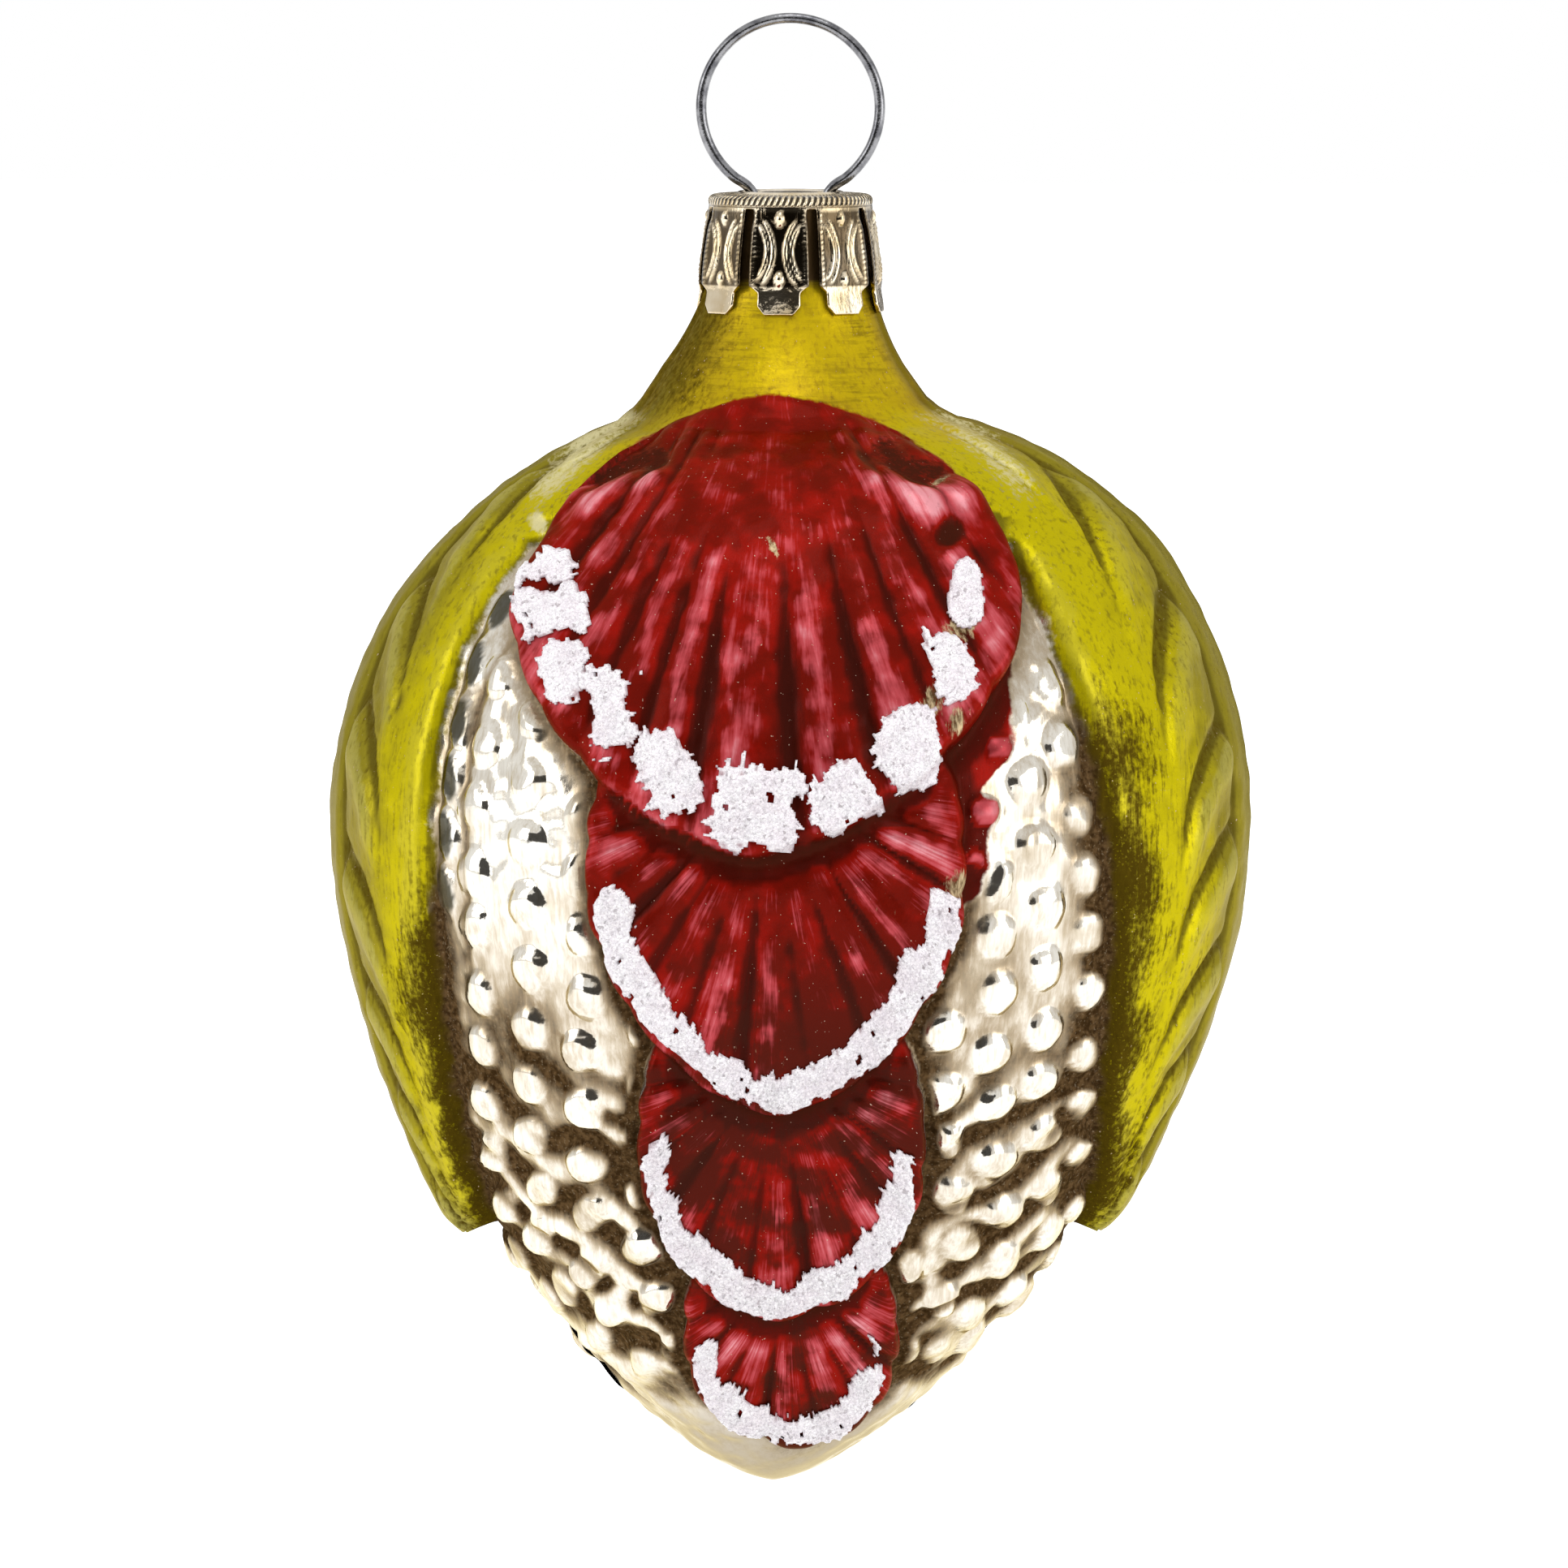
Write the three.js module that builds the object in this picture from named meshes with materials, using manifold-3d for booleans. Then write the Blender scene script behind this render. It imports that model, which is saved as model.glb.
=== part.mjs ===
// Egg ornament of mould-blown silvered glass, hung by a sprung wire from a stamped metal cap.
// Millimetres, +Z up, front is -Y. The origin is the hook point: inside the top of the wire ring.
import * as THREE from "three";
import { mergeVertices } from "three/addons/utils/BufferGeometryUtils.js";
import Module from "manifold-3d";

const wasm = await Module();
wasm.setup();

// Hanger: one wire, bent to a ring whose two legs pass through the cap into the neck
const wireDiameter = 0.6;
const ringInnerDiameter = 9.64;
const legSpacing = 4.2; // between the leg centres, where they pass through the cap
const ringOpening = 6.2; // between the wire centres, where the ring turns down into the legs
const legLength = 15.5; // below the cap
const legSpring = 0.35; // how far each leg leans outwards to grip the neck

// Cap: thin sheet metal, a shallow domed top and a skirt cut into prongs
const capSheet = 0.25;
const capTopDepth = 9.6; // below the hook point
const capTopRise = 0.12;
const capShoulderRadius = 3.8;
const capRimRadius = 4.65;
const capRimDepth = 0.85; // from the top to where the skirt starts
const capSkirtRadius = 5.2;
const capSkirtLength = 4.7;
const prongCount = 8;
const prongGap = 0.75;
const prongSlotTop = 0.5; // from the rim down to where the gaps between the prongs open
const tongueLength = 1.3; // narrower end of each prong
const tongueFlare = 0.38;
const tongueShoulder = 0.95; // how far each side of a prong steps in
const tongueChamfer = 0.55;
const prongTurn = -3; // degrees, of the front prong's middle
const wireHoleClearance = 0.3;

// Glass: a hollow egg with an open neck
const neckRadius = 4.05;
const neckClearance = 0.3; // from the cap's inside down to the lip of the neck
const neckStraight = 0.4;
const neckWaistRadius = 4.2;
const neckWaistDrop = 6.2; // below the lip
const neckFlareRadius = 6.2;
const neckFlareDrop = 8.5;
const neckFootRadius = 8.4;
const neckFootDrop = 12;
const neckFootRun = 1; // how much wider than the foot the round shoulder starts, at least
const neckFootStep = 0.9; // and how far below it
const bodyRadius = 24.2; // half the width, without the leaves
const bodyHalfThickness = 23.3; // front to back, without the shells
const thinnedRise = 11.5; // above the widest place, where the round neck has passed into the flatter body
const bodyDepth = 45.5; // of the widest place
const bodyFullness = 16.9; // how far the wide part runs down before it tapers
const tipRadius = 7.7; // sets how blunt the lower end is
const tipRise = 1.06;
const overallDepth = 83.65; // of the tip
const tipLean = -0.65; // how far the hand-blown tip stands off the middle
const leanDepth = 58; // where it starts to lean
const glassWall = 0.7;
const seamTurn = 4.5; // degrees, from the sides to the mould's seams

// Shells: four scallops in a column, front and back, each lapping over the next
const shellSink = 0.42; // how deep a shell or a leaf is let into the wall
const shellHingeHeight = 0.55;
const shellRimHeight = 1.55;
const shellRimShare = 0.55; // of its height left at the rounded rim
const shellTopShare = 0.25; // of its height at its top
const shellTopRun = 8; // from there down to where it has its full height
const shellReach = 112; // degrees either way from the spoke that runs straight down
const grooveDepth = 0.4;
const scallopDepth = 0.2;
const shellPoint = 1.6; // exponent of the rim's outline: 2 is an ellipse, 1 a diamond
const shells = [
  {
    middleDepth: 33.2, halfWidth: 14.65, halfHeight: 12.3, offset: 0, hingeDepth: 23.4, topPoint: 1.7,
    grooves: [-86, -74, -62, -50, -37.5, -26.4, -11, 8, 25.7, 37, 49, 61, 73, 86], // degrees of spoke
  },
  {
    middleDepth: 48.2, halfWidth: 10.75, halfHeight: 12.4, offset: 0.9, hingeDepth: 42.5, topPoint: 3.2,
    grooves: evenGrooves(14, 11.8),
  },
  {
    middleDepth: 63, halfWidth: 8.05, halfHeight: 9.7, offset: 1, hingeDepth: 58.5, topPoint: 3.2,
    grooves: evenGrooves(12, 13.5),
  },
  {
    middleDepth: 74, halfWidth: 6, halfHeight: 6.7, offset: 1, hingeDepth: 71, topPoint: 3.2,
    grooves: evenGrooves(9, 18),
  },
];

// Leaves: one over each seam, with pillowed lobes between creases that curve down from the midrib
const leafTopDepth = 21.6;
const leafTipDepth = 68.9;
const leafWideDepth = 40;
const leafAngles = [46.5, 37.5]; // degrees from a seam to the leaf's edge, before and behind the right one
const leafPoint = 0.38; // exponent of its taper: the smaller, the blunter
const leafHeights = [
  { depth: 21.5, left: 0.1, right: 0.1 },
  { depth: 23.5, left: 0.45, right: 0.8 },
  { depth: 26, left: 0.75, right: 1.4 },
  { depth: 31, left: 1.45, right: 2 },
  { depth: 44, left: 2, right: 2 },
  { depth: 56, left: 2.1, right: 1.95 },
  { depth: 71, left: 2.6, right: 2.45 },
];
const leafSideShare = 0.55; // of its height left beside its edge
const leafEdgeShare = 0.3; // and at the edge itself
const leafLeast = 0.1; // its height where a crease is deepest, at least
const leafCreaseDepths = [25, 32, 39, 45.8, 52.5, 58.2, 63.6]; // where they leave the midrib
const leafCrease = 0.5;
const leafPillow = 0.4;
const leafMidrib = 0.3; // half its width, as a share of the leaf's
const creaseRun = 3.3; // how steeply a crease curves down
const creaseReach = 0.72; // the share of the leaf's width that it comes close to
const creaseEnd = 0.04; // and how near it comes
const shoulderDepths = [25.5, 31.5]; // between which the raised shoulder under the neck ends
const shoulderShare = 0.45; // of the leaves' height

// Beads: columns of them down the four panels between the shells and the leaves
const panelCentre = 2; // degrees from the front to the line where the two panels of a side would meet
const beadColumns = 5;
const beadStarts = { left: 0.148, right: 0.069 }; // share of a panel, from the leaf to the first column
const beadPitches = { left: 0.177, right: 0.16 };
const beadTopDepth = 36.4;
const beadEndDepth = 79;
const beadFadeDepth = 73;
const beadPitch = 3.75; // down a column, at its top
const beadTightening = 0.975; // from one bead to the next
const beadHeights = [0.42, 0.68];
const beadHeightDepths = [44, 60];

// Glitter trims: a raised layer of white paint and crushed glass along each shell's rim
const trimThickness = 0.3;
const trimClearance = 0.3;
const trimInset = 0.7; // from the rim to the trim's outer edge
const bandWidth = 2;
const bandReach = 80; // degrees of rim that the bands of the lower shells cover, each way
const dabWidth = 3.4;
const dabs = [
  { middle: -98, span: 12 }, // degrees of the upper shell's rim, from its lowest point
  { middle: -81, span: 15 },
  { middle: -65, span: 13 },
  { middle: -46, span: 13 },
  { middle: -27, span: 14 },
  { middle: 1.5, span: 24 },
  { middle: 25, span: 16 },
  { middle: 44, span: 15 },
  { middle: 64, span: 14 },
  { middle: 88, span: 15 },
];

const overlap = 1; // how far a cutter runs past the face that it cuts
const steelGrey = { color: 0x9a9ca0, roughness: 0.28, metalness: 1 };
const capSilver = { color: 0xcfc4b2, roughness: 0.3, metalness: 1 };
const silveredGlass = { color: 0xd9d4cc, roughness: 0.2, metalness: 0.9 };
const glitterWhite = { color: 0xf2eef6, roughness: 0.8, metalness: 0 };

const radians = THREE.MathUtils.degToRad;
const blend = THREE.MathUtils.lerp;
const clamp = THREE.MathUtils.clamp;
const ramp = THREE.MathUtils.smoothstep;

// The angles of grooves a pitch apart, even about the spoke that runs straight down.
function evenGrooves(ribs, pitch) {
  return Array.from({ length: ribs + 1 }, (_, index) => pitch * (index - ribs / 2));
}

// A closed geometry as a solid that can be joined and cut.
function solidOf(geometry) {
  const bare = geometry.clone();
  bare.deleteAttribute("normal");
  bare.deleteAttribute("uv");
  const merged = mergeVertices(bare, 1e-4);
  return new wasm.Manifold(new wasm.Mesh({
    numProp: 3,
    vertProperties: merged.attributes.position.array,
    triVerts: new Uint32Array(merged.index.array),
  }));
}

function geometryOf(solid) {
  const mesh = solid.getMesh();
  const geometry = new THREE.BufferGeometry();
  geometry.setAttribute("position", new THREE.BufferAttribute(mesh.vertProperties, 3));
  geometry.setIndex(new THREE.BufferAttribute(mesh.triVerts, 1));
  return geometry;
}

function namedMesh(name, geometry, finish) {
  const mesh = new THREE.Mesh(geometry, new THREE.MeshStandardMaterial(finish));
  mesh.name = name;
  return mesh;
}

// A body of revolution about Z from a profile of (radius, height) points listed from the bottom up.
function turned(points, segments) {
  return new THREE.LatheGeometry(points, segments).rotateX(Math.PI / 2);
}

// A curved plate with closed edges. face(u, v, isTop) gives its points, with u and v from 0 to 1.
function plate(columns, rows, face) {
  const width = columns + 1;
  const layer = width * (rows + 1);
  const points = [];
  for (const isTop of [true, false])
    for (let j = 0; j <= rows; j++)
      for (let i = 0; i <= columns; i++)
        points.push(...face(i / columns, j / rows, isTop).toArray());
  const at = (i, j) => j * width + i;
  const faces = [];
  const quad = (a, b, c, d) => faces.push(a, b, c, a, c, d);
  for (let j = 0; j < rows; j++)
    for (let i = 0; i < columns; i++) {
      quad(at(i, j), at(i, j + 1), at(i + 1, j + 1), at(i + 1, j));
      quad(layer + at(i, j), layer + at(i + 1, j), layer + at(i + 1, j + 1), layer + at(i, j + 1));
    }
  for (let i = 0; i < columns; i++) {
    quad(at(i, 0), at(i + 1, 0), layer + at(i + 1, 0), layer + at(i, 0));
    quad(at(i + 1, rows), at(i, rows), layer + at(i, rows), layer + at(i + 1, rows));
  }
  for (let j = 0; j < rows; j++) {
    quad(at(0, j + 1), at(0, j), layer + at(0, j), layer + at(0, j + 1));
    quad(at(columns, j), at(columns, j + 1), layer + at(columns, j + 1), layer + at(columns, j));
  }
  const geometry = new THREE.BufferGeometry();
  geometry.setAttribute("position", new THREE.Float32BufferAttribute(points, 3));
  geometry.setIndex(faces);
  return geometry;
}

// The ring's round stretch, from one turn-down over the top to the other.
class RingArc extends THREE.Curve {
  constructor(radius, centreDepth, openingAngle) {
    super();
    Object.assign(this, { radius, centreDepth, openingAngle });
  }
  getPoint(t, target = new THREE.Vector3()) {
    const angle = blend(-Math.PI + this.openingAngle, Math.PI - this.openingAngle, t);
    return target.set(this.radius * Math.sin(angle), 0, this.radius * Math.cos(angle) - this.centreDepth);
  }
}

function hanger() {
  const radius = (ringInnerDiameter + wireDiameter) / 2;
  const centreDepth = ringInnerDiameter / 2;
  const openingAngle = Math.asin(ringOpening / 2 / radius);
  const turnDepth = centreDepth + radius * Math.cos(openingAngle);
  const slopeRun = (ringOpening - legSpacing) / 2;
  const legTopDepth = turnDepth + slopeRun * Math.tan(openingAngle);
  const side = (sign) => ({
    turn: new THREE.Vector3(sign * ringOpening / 2, 0, -turnDepth),
    corner: new THREE.Vector3(sign * legSpacing / 2, 0, -legTopDepth),
    legTop: new THREE.Vector3(sign * legSpacing / 2, 0, -capTopDepth - capTopRise - capSheet),
    legEnd: new THREE.Vector3(sign * (legSpacing / 2 + legSpring), 0, -capTopDepth - legLength),
  });
  const left = side(-1);
  const right = side(1);
  const path = new THREE.CurvePath();
  path.add(new THREE.LineCurve3(left.legEnd, left.legTop));
  path.add(new THREE.QuadraticBezierCurve3(left.legTop, left.corner, left.turn));
  path.add(new RingArc(radius, centreDepth, openingAngle));
  path.add(new THREE.QuadraticBezierCurve3(right.turn, right.corner, right.legTop));
  path.add(new THREE.LineCurve3(right.legTop, right.legEnd));
  const section = new THREE.Shape().absarc(0, 0, wireDiameter / 2, 0, 2 * Math.PI);
  return new THREE.ExtrudeGeometry(section, { extrudePath: path, steps: 68, curveSegments: 4 });
}

// The cap's outer face, as (radius, height) from the top down, drawn in by inset.
function capProfile(inset, divisions) {
  const rimHeight = -capTopDepth - capRimDepth;
  const skirtHeight = rimHeight - capSkirtLength;
  const profile = new THREE.Path();
  profile.moveTo(0, -capTopDepth - inset);
  profile.quadraticCurveTo(capShoulderRadius / 2, -capTopDepth - inset,
    capShoulderRadius - inset / 2, -capTopDepth - capTopRise - inset);
  profile.quadraticCurveTo(capRimRadius - inset, -capTopDepth - capTopRise - inset,
    capRimRadius - inset, rimHeight);
  profile.quadraticCurveTo(capSkirtRadius - inset, blend(rimHeight, skirtHeight, 0.3),
    capSkirtRadius - inset, skirtHeight);
  profile.lineTo(capSkirtRadius + tongueFlare - inset, skirtHeight - tongueLength);
  return profile.getPoints(divisions);
}

// The gap between two prongs: a slot that opens out between their narrower tongues.
function prongGapCutter() {
  const slotTop = -capTopDepth - capRimDepth - prongSlotTop;
  const shoulderHeight = -capTopDepth - capRimDepth - capSkirtLength;
  const tongueEnd = shoulderHeight - tongueLength;
  const half = prongGap / 2;
  const outline = new THREE.Shape();
  outline.moveTo(-half, slotTop);
  outline.lineTo(-half, shoulderHeight);
  outline.lineTo(-half - tongueShoulder, shoulderHeight - tongueShoulder / 2);
  outline.lineTo(-half - tongueShoulder, tongueEnd + tongueChamfer);
  outline.lineTo(-half - tongueShoulder - tongueChamfer - overlap, tongueEnd - overlap);
  outline.lineTo(half + tongueShoulder + tongueChamfer + overlap, tongueEnd - overlap);
  outline.lineTo(half + tongueShoulder, tongueEnd + tongueChamfer);
  outline.lineTo(half + tongueShoulder, shoulderHeight - tongueShoulder / 2);
  outline.lineTo(half, shoulderHeight);
  outline.lineTo(half, slotTop);
  outline.absarc(0, slotTop, half, 0, Math.PI);
  const depth = capSkirtRadius + tongueFlare + overlap;
  return new THREE.ExtrudeGeometry(outline, { depth, bevelEnabled: false, curveSegments: 4 })
    .rotateX(Math.PI / 2);
}

function cap() {
  const outside = capProfile(0, 4);
  const inside = capProfile(capSheet, 2);
  let sheet = solidOf(turned([...inside, ...outside.reverse()], 5 * prongCount));
  const pitch = 360 / prongCount;
  for (let k = 0; k < prongCount; k++) {
    const cutter = prongGapCutter().rotateZ(radians(prongTurn + (k + 0.5) * pitch));
    sheet = sheet.subtract(solidOf(cutter));
  }
  const holeRadius = wireDiameter / 2 + wireHoleClearance;
  const holeLength = 2 * (capTopRise + capSheet + overlap);
  for (const sign of [-1, 1]) {
    const drill = new THREE.CylinderGeometry(holeRadius, holeRadius, holeLength, 16).rotateX(Math.PI / 2)
      .translate(sign * legSpacing / 2, 0, -capTopDepth);
    sheet = sheet.subtract(solidOf(drill));
  }
  return geometryOf(sheet);
}

// The glass's outer face without its relief, from the lip of the neck down to the tip.
function glassProfile() {
  const profile = new THREE.Path();
  profile.moveTo(neckRadius, lipHeight);
  profile.lineTo(neckRadius, lipHeight - neckStraight);
  profile.bezierCurveTo(neckWaistRadius, lipHeight - neckWaistDrop, neckFlareRadius,
    lipHeight - neckFlareDrop, neckFootRadius, footHeight);
  profile.absarc(0, -bodyDepth, bodyRadius, shoulderStart, 0, true);
  profile.bezierCurveTo(bodyRadius, -bodyDepth - bodyFullness, tipRadius, -overallDepth + tipRise,
    0, -overallDepth);
  return profile;
}

const lipHeight = -capTopDepth - capTopRise - capSheet - neckClearance;
const footHeight = lipHeight - neckFootDrop;
const shoulderRise = (footHeight - neckFootStep + bodyDepth) / bodyRadius;
const shoulderStart = Math.min(Math.acos((neckFootRadius + neckFootRun) / bodyRadius),
  Math.asin(Math.min(shoulderRise, 1)));
const outlinePoints = glassProfile().getSpacedPoints(600);

// How much thinner than wide the glass is at a height.
function thinness(height) {
  return blend(1, bodyHalfThickness / bodyRadius, ramp(-height, -footHeight, bodyDepth - thinnedRise));
}

// The point on the glass at an azimuth from the front and a height, raised square to the surface.
function skin(azimuth, height, raise) {
  const below = Math.max(1, outlinePoints.findIndex((p) => p.y <= height));
  const upper = outlinePoints[below - 1];
  const lower = outlinePoints[below];
  const share = clamp((upper.y - height) / (upper.y - lower.y), 0, 1);
  const along = lower.clone().sub(upper).normalize();
  const radius = blend(upper.x, lower.x, share) - along.y * raise;
  return new THREE.Vector3(radius * Math.sin(azimuth), -radius * Math.cos(azimuth) * thinness(height),
    height + along.x * raise);
}

function radiusAt(height) {
  return skin(Math.PI / 2, height, 0).x;
}

// A geometry whose points are moved sideways, as the tip of the hand-blown glass is.
function leaned(geometry) {
  const place = geometry.attributes.position;
  for (let i = 0; i < place.count; i++) {
    const past = clamp((-place.getZ(i) - leanDepth) / (overallDepth - leanDepth), 0, 1);
    place.setX(i, place.getX(i) + tipLean * past);
  }
  return geometry;
}

// The rim of a shell seen from the front, at an angle from its lowest point.
function onRim(shell, angle) {
  const point = Math.cos(angle) < 0 ? shell.topPoint : shellPoint;
  const bowed = (value) => Math.sign(value) * Math.abs(value) ** (2 / point);
  return new THREE.Vector2(
    shell.offset + shell.halfWidth * bowed(Math.sin(angle)),
    -shell.middleDepth - shell.halfHeight * bowed(Math.cos(angle)),
  );
}

function hingeOf(shell) {
  return new THREE.Vector2(shell.offset, -shell.hingeDepth);
}

// The point where a spoke, at an angle from straight down, meets the rim: found by halving.
function spokeEnd(shell, spoke) {
  let low = -Math.PI;
  let high = Math.PI;
  for (let step = 0; step < 24; step++) {
    const middle = (low + high) / 2;
    const arm = onRim(shell, middle).sub(hingeOf(shell));
    if (Math.atan2(arm.x, -arm.y) < spoke) low = middle;
    else high = middle;
  }
  return onRim(shell, low);
}

function onFront(place, raise) {
  return skin(Math.asin(clamp(place.x / radiusAt(place.y), -1, 1)), place.y, raise);
}

// How high a shell stands over the glass at a share of the way from its hinge to its rim.
function shellHeight(shell, share, height) {
  const top = shell.middleDepth - shell.halfHeight;
  const grown = blend(shellTopShare, 1, ramp(-height, top, top + shellTopRun));
  return blend(shellHingeHeight, shellRimHeight, share ** 1.5) * grown + shoulder(height);
}

function shellSolid(shell) {
  const spokes = [-shellReach];
  shell.grooves.forEach((groove, index) => {
    if (index > 0) spokes.push((shell.grooves[index - 1] + groove) / 2);
    spokes.push(groove);
  });
  spokes.push(shellReach);
  const shares = [0.06, 0.35, 0.6, 0.83, 0.96, 1];
  const columns = spokes.length - 1;
  const bands = shares.length - 1;
  return solidOf(plate(columns, bands, (u, v, isTop) => {
    const column = Math.round(u * columns);
    const share = shares[Math.round(v * bands)];
    const inGroove = column % 2 === 1 ? ramp(share, 0.2, 0.62) : 0;
    const rim = spokeEnd(shell, radians(spokes[column]));
    const hinge = hingeOf(shell);
    const reach = share * (1 - (inGroove * scallopDepth * share) / hinge.distanceTo(rim));
    const place = hinge.lerp(rim, reach);
    if (!isTop) return onFront(place, -shellSink);
    const height = shellHeight(shell, share, place.y) - inGroove * grooveDepth;
    return onFront(place, share < 1 ? height : height * shellRimShare);
  }));
}

// How high a leaf, or the mean of both, stands over the glass at a height.
function leafHeight(side, height) {
  const below = clamp(leafHeights.findIndex((place) => place.depth >= -height), 1, leafHeights.length - 1);
  const upper = leafHeights[below - 1];
  const lower = leafHeights[below];
  const share = clamp((-height - upper.depth) / (lower.depth - upper.depth), 0, 1);
  return blend(upper[side], lower[side], share);
}

// The raised shoulder that joins the leaves under the neck.
function shoulder(height) {
  const mean = (leafHeight("left", height) + leafHeight("right", height)) / 2;
  return shoulderShare * mean * ramp(-height, leafHeights[0].depth, leafHeights[1].depth)
    * (1 - ramp(-height, ...shoulderDepths));
}

// The angle from a seam to the leaf's edge.
function leafAngle(full, height) {
  const past = clamp((-height - leafWideDepth) / (leafTipDepth - leafWideDepth), 0, 1);
  return radians(full) * (1 - past ** 2) ** leafPoint;
}

// A leaf over the right seam, with the heights of one side.
function leafSolid(side) {
  const across = [0, 0.15, leafMidrib, 0.45, 0.6, 0.75, 0.95, 1];
  const half = across.length - 1;
  const lobes = leafCreaseDepths.length - 1;
  const steps = 3; // rows from one crease to the next
  const rows = (lobes + 1) * steps;
  const face = (u, v, isTop) => {
    const column = Math.round(u * 2 * half) - half;
    const share = across[Math.abs(column)];
    const row = Math.round(v * rows);
    const above = clamp(Math.floor(row / steps) - 1, -1, lobes);
    const start = above < 0 ? leafTopDepth : leafCreaseDepths[above];
    const end = above < lobes ? leafCreaseDepths[above + 1] : leafTipDepth;
    const level = above < lobes ? blend(start, end, (row % steps) / steps) : start;
    const seamDepth = row === rows ? leafTipDepth - 0.15 : level;
    const left = Math.max(creaseReach - share, creaseEnd);
    const run = creaseRun * Math.log((creaseReach - leafMidrib) / left);
    const envelope = Math.min(1, 5 * v, 5 * (1 - v)); // no creases at the leaf's two ends
    const height = -seamDepth - (share > leafMidrib ? run * envelope : 0);
    const seam = Math.PI / 2 + radians(seamTurn);
    const azimuth = seam + Math.sign(column) * share * leafAngle(leafAngles[column < 0 ? 0 : 1], height);
    if (!isTop) return skin(azimuth, height, -shellSink);
    const full = leafHeight(side, height) * blend(leafSideShare, 1, (1 - share) ** 0.7);
    const onCrease = row % steps === 0 && row > 0 && row < rows;
    const onLobe = share >= leafMidrib && share < creaseReach + 0.1 ? 1 : 0;
    const relief = onLobe * (onCrease ? -leafCrease : leafPillow) * envelope;
    const raised = Math.max(full + relief, leafLeast);
    return skin(azimuth, height, share < 1 ? raised : full * leafEdgeShare);
  };
  return solidOf(plate(2 * half, rows, face));
}

// The depths of the rows on which beads can stand, half a pitch apart.
function beadRows() {
  const rows = [];
  for (let depth = beadTopDepth, half = beadPitch / 2; depth < beadEndDepth; half *= beadTightening ** 0.5) {
    rows.push(depth);
    depth += half;
  }
  return rows;
}

// The lines on which the points of one panel lie: on and between the columns of beads.
function panelLines(side) {
  const lines = [];
  for (let line = -1; line < 2 * beadColumns; line++)
    lines.push({ side, line, share: beadStarts[side] + (line / 2) * beadPitches[side] });
  return lines;
}

// The azimuth of a line at a height. Share -1 is the seam, 0 the leaf's edge and 1 the panels' centre.
function lineAzimuth({ side, share }, height) {
  const way = side === "left" ? 1 : -1;
  const seam = -way * Math.PI / 2 + radians(seamTurn);
  const edge = Math.max(leafAngle(leafAngles[side === "left" ? 1 : 0], height), radians(2));
  const centre = radians(panelCentre);
  if (share <= 0) return seam + way * edge * (1 + share);
  return blend(seam + way * edge, centre, share);
}

function isOnShell(azimuth, height) {
  const x = radiusAt(height) * Math.sin(azimuth);
  return shells.some((shell) => {
    const across = Math.abs(x - shell.offset) / shell.halfWidth;
    const down = Math.abs(-height - shell.middleDepth) / shell.halfHeight;
    const point = -height < shell.middleDepth ? shell.topPoint : shellPoint;
    return across ** point + down ** point < 1;
  });
}

// The glass without shells and leaves: closed at the lip and the tip, with its beads as low points.
function beadedEgg() {
  const spread = (from, to, count) => Array.from({ length: count }, (_, k) => blend(from, to, k / count));
  const beads = beadRows();
  const firstBead = beads[0] - beadPitch / 2;
  const depths = [
    -lipHeight,
    ...spread(-lipHeight + neckStraight, -footHeight, 7),
    ...spread(-footHeight, firstBead, 6),
    firstBead,
    ...beads,
    blend(beads[beads.length - 1], overallDepth, 0.5),
    blend(beads[beads.length - 1], overallDepth, 0.85),
  ];
  const leafLines = (side) => [-1, -2 / 3, -1 / 3].map((share) => ({ side, share }));
  const halfLines = [
    ...leafLines("left"),
    ...panelLines("left"),
    { side: "left", share: 1 },
    ...panelLines("right").reverse(),
    ...leafLines("right").slice(1).reverse(),
  ];
  const ring = new THREE.Vector2(neckRadius, lipHeight); // moved to its place below
  const floor = new THREE.Vector2(0, -overallDepth);
  const outline = [floor, ...depths.map(() => ring), new THREE.Vector2(0, lipHeight)];
  const geometry = turned(outline, 2 * halfLines.length);
  const place = geometry.attributes.position;
  const point = (line, row) => {
    const height = -depths[row];
    const azimuth = lineAzimuth(line, height);
    const bead = row - depths.length + 2 + beads.length;
    const onBead = line.line >= 0 && line.line % 2 === 0 && (line.line / 2 + bead) % 2 === 0;
    const stands = onBead && bead >= 0 && bead < beads.length && !isOnShell(azimuth, height);
    const tall = blend(...beadHeights, ramp(-height, ...beadHeightDepths));
    const fade = 1 - ramp(-height, beadFadeDepth, beadEndDepth);
    return skin(azimuth, height, stands ? tall * fade : shoulder(height));
  };
  for (let i = 0; i <= 2 * halfLines.length; i++)
    for (let j = 1; j <= depths.length; j++) {
      const turn = Math.floor(i / halfLines.length);
      const { x, y, z } = point(halfLines[i % halfLines.length], depths.length - j);
      const flip = turn % 2 === 1 ? -1 : 1;
      place.setXYZ(i * outline.length + j, flip * x, flip * y, z);
    }
  return geometry;
}

function glassBody() {
  let glass = solidOf(beadedEgg());
  const halfTurn = [0, 0, 180];
  for (const shell of shells) {
    const raised = shellSolid(shell);
    glass = glass.add(raised).add(raised.rotate(halfTurn));
  }
  glass = glass.add(leafSolid("right")).add(leafSolid("left").rotate(halfTurn));
  return leaned(geometryOf(glass.subtract(cavity())));
}

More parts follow.
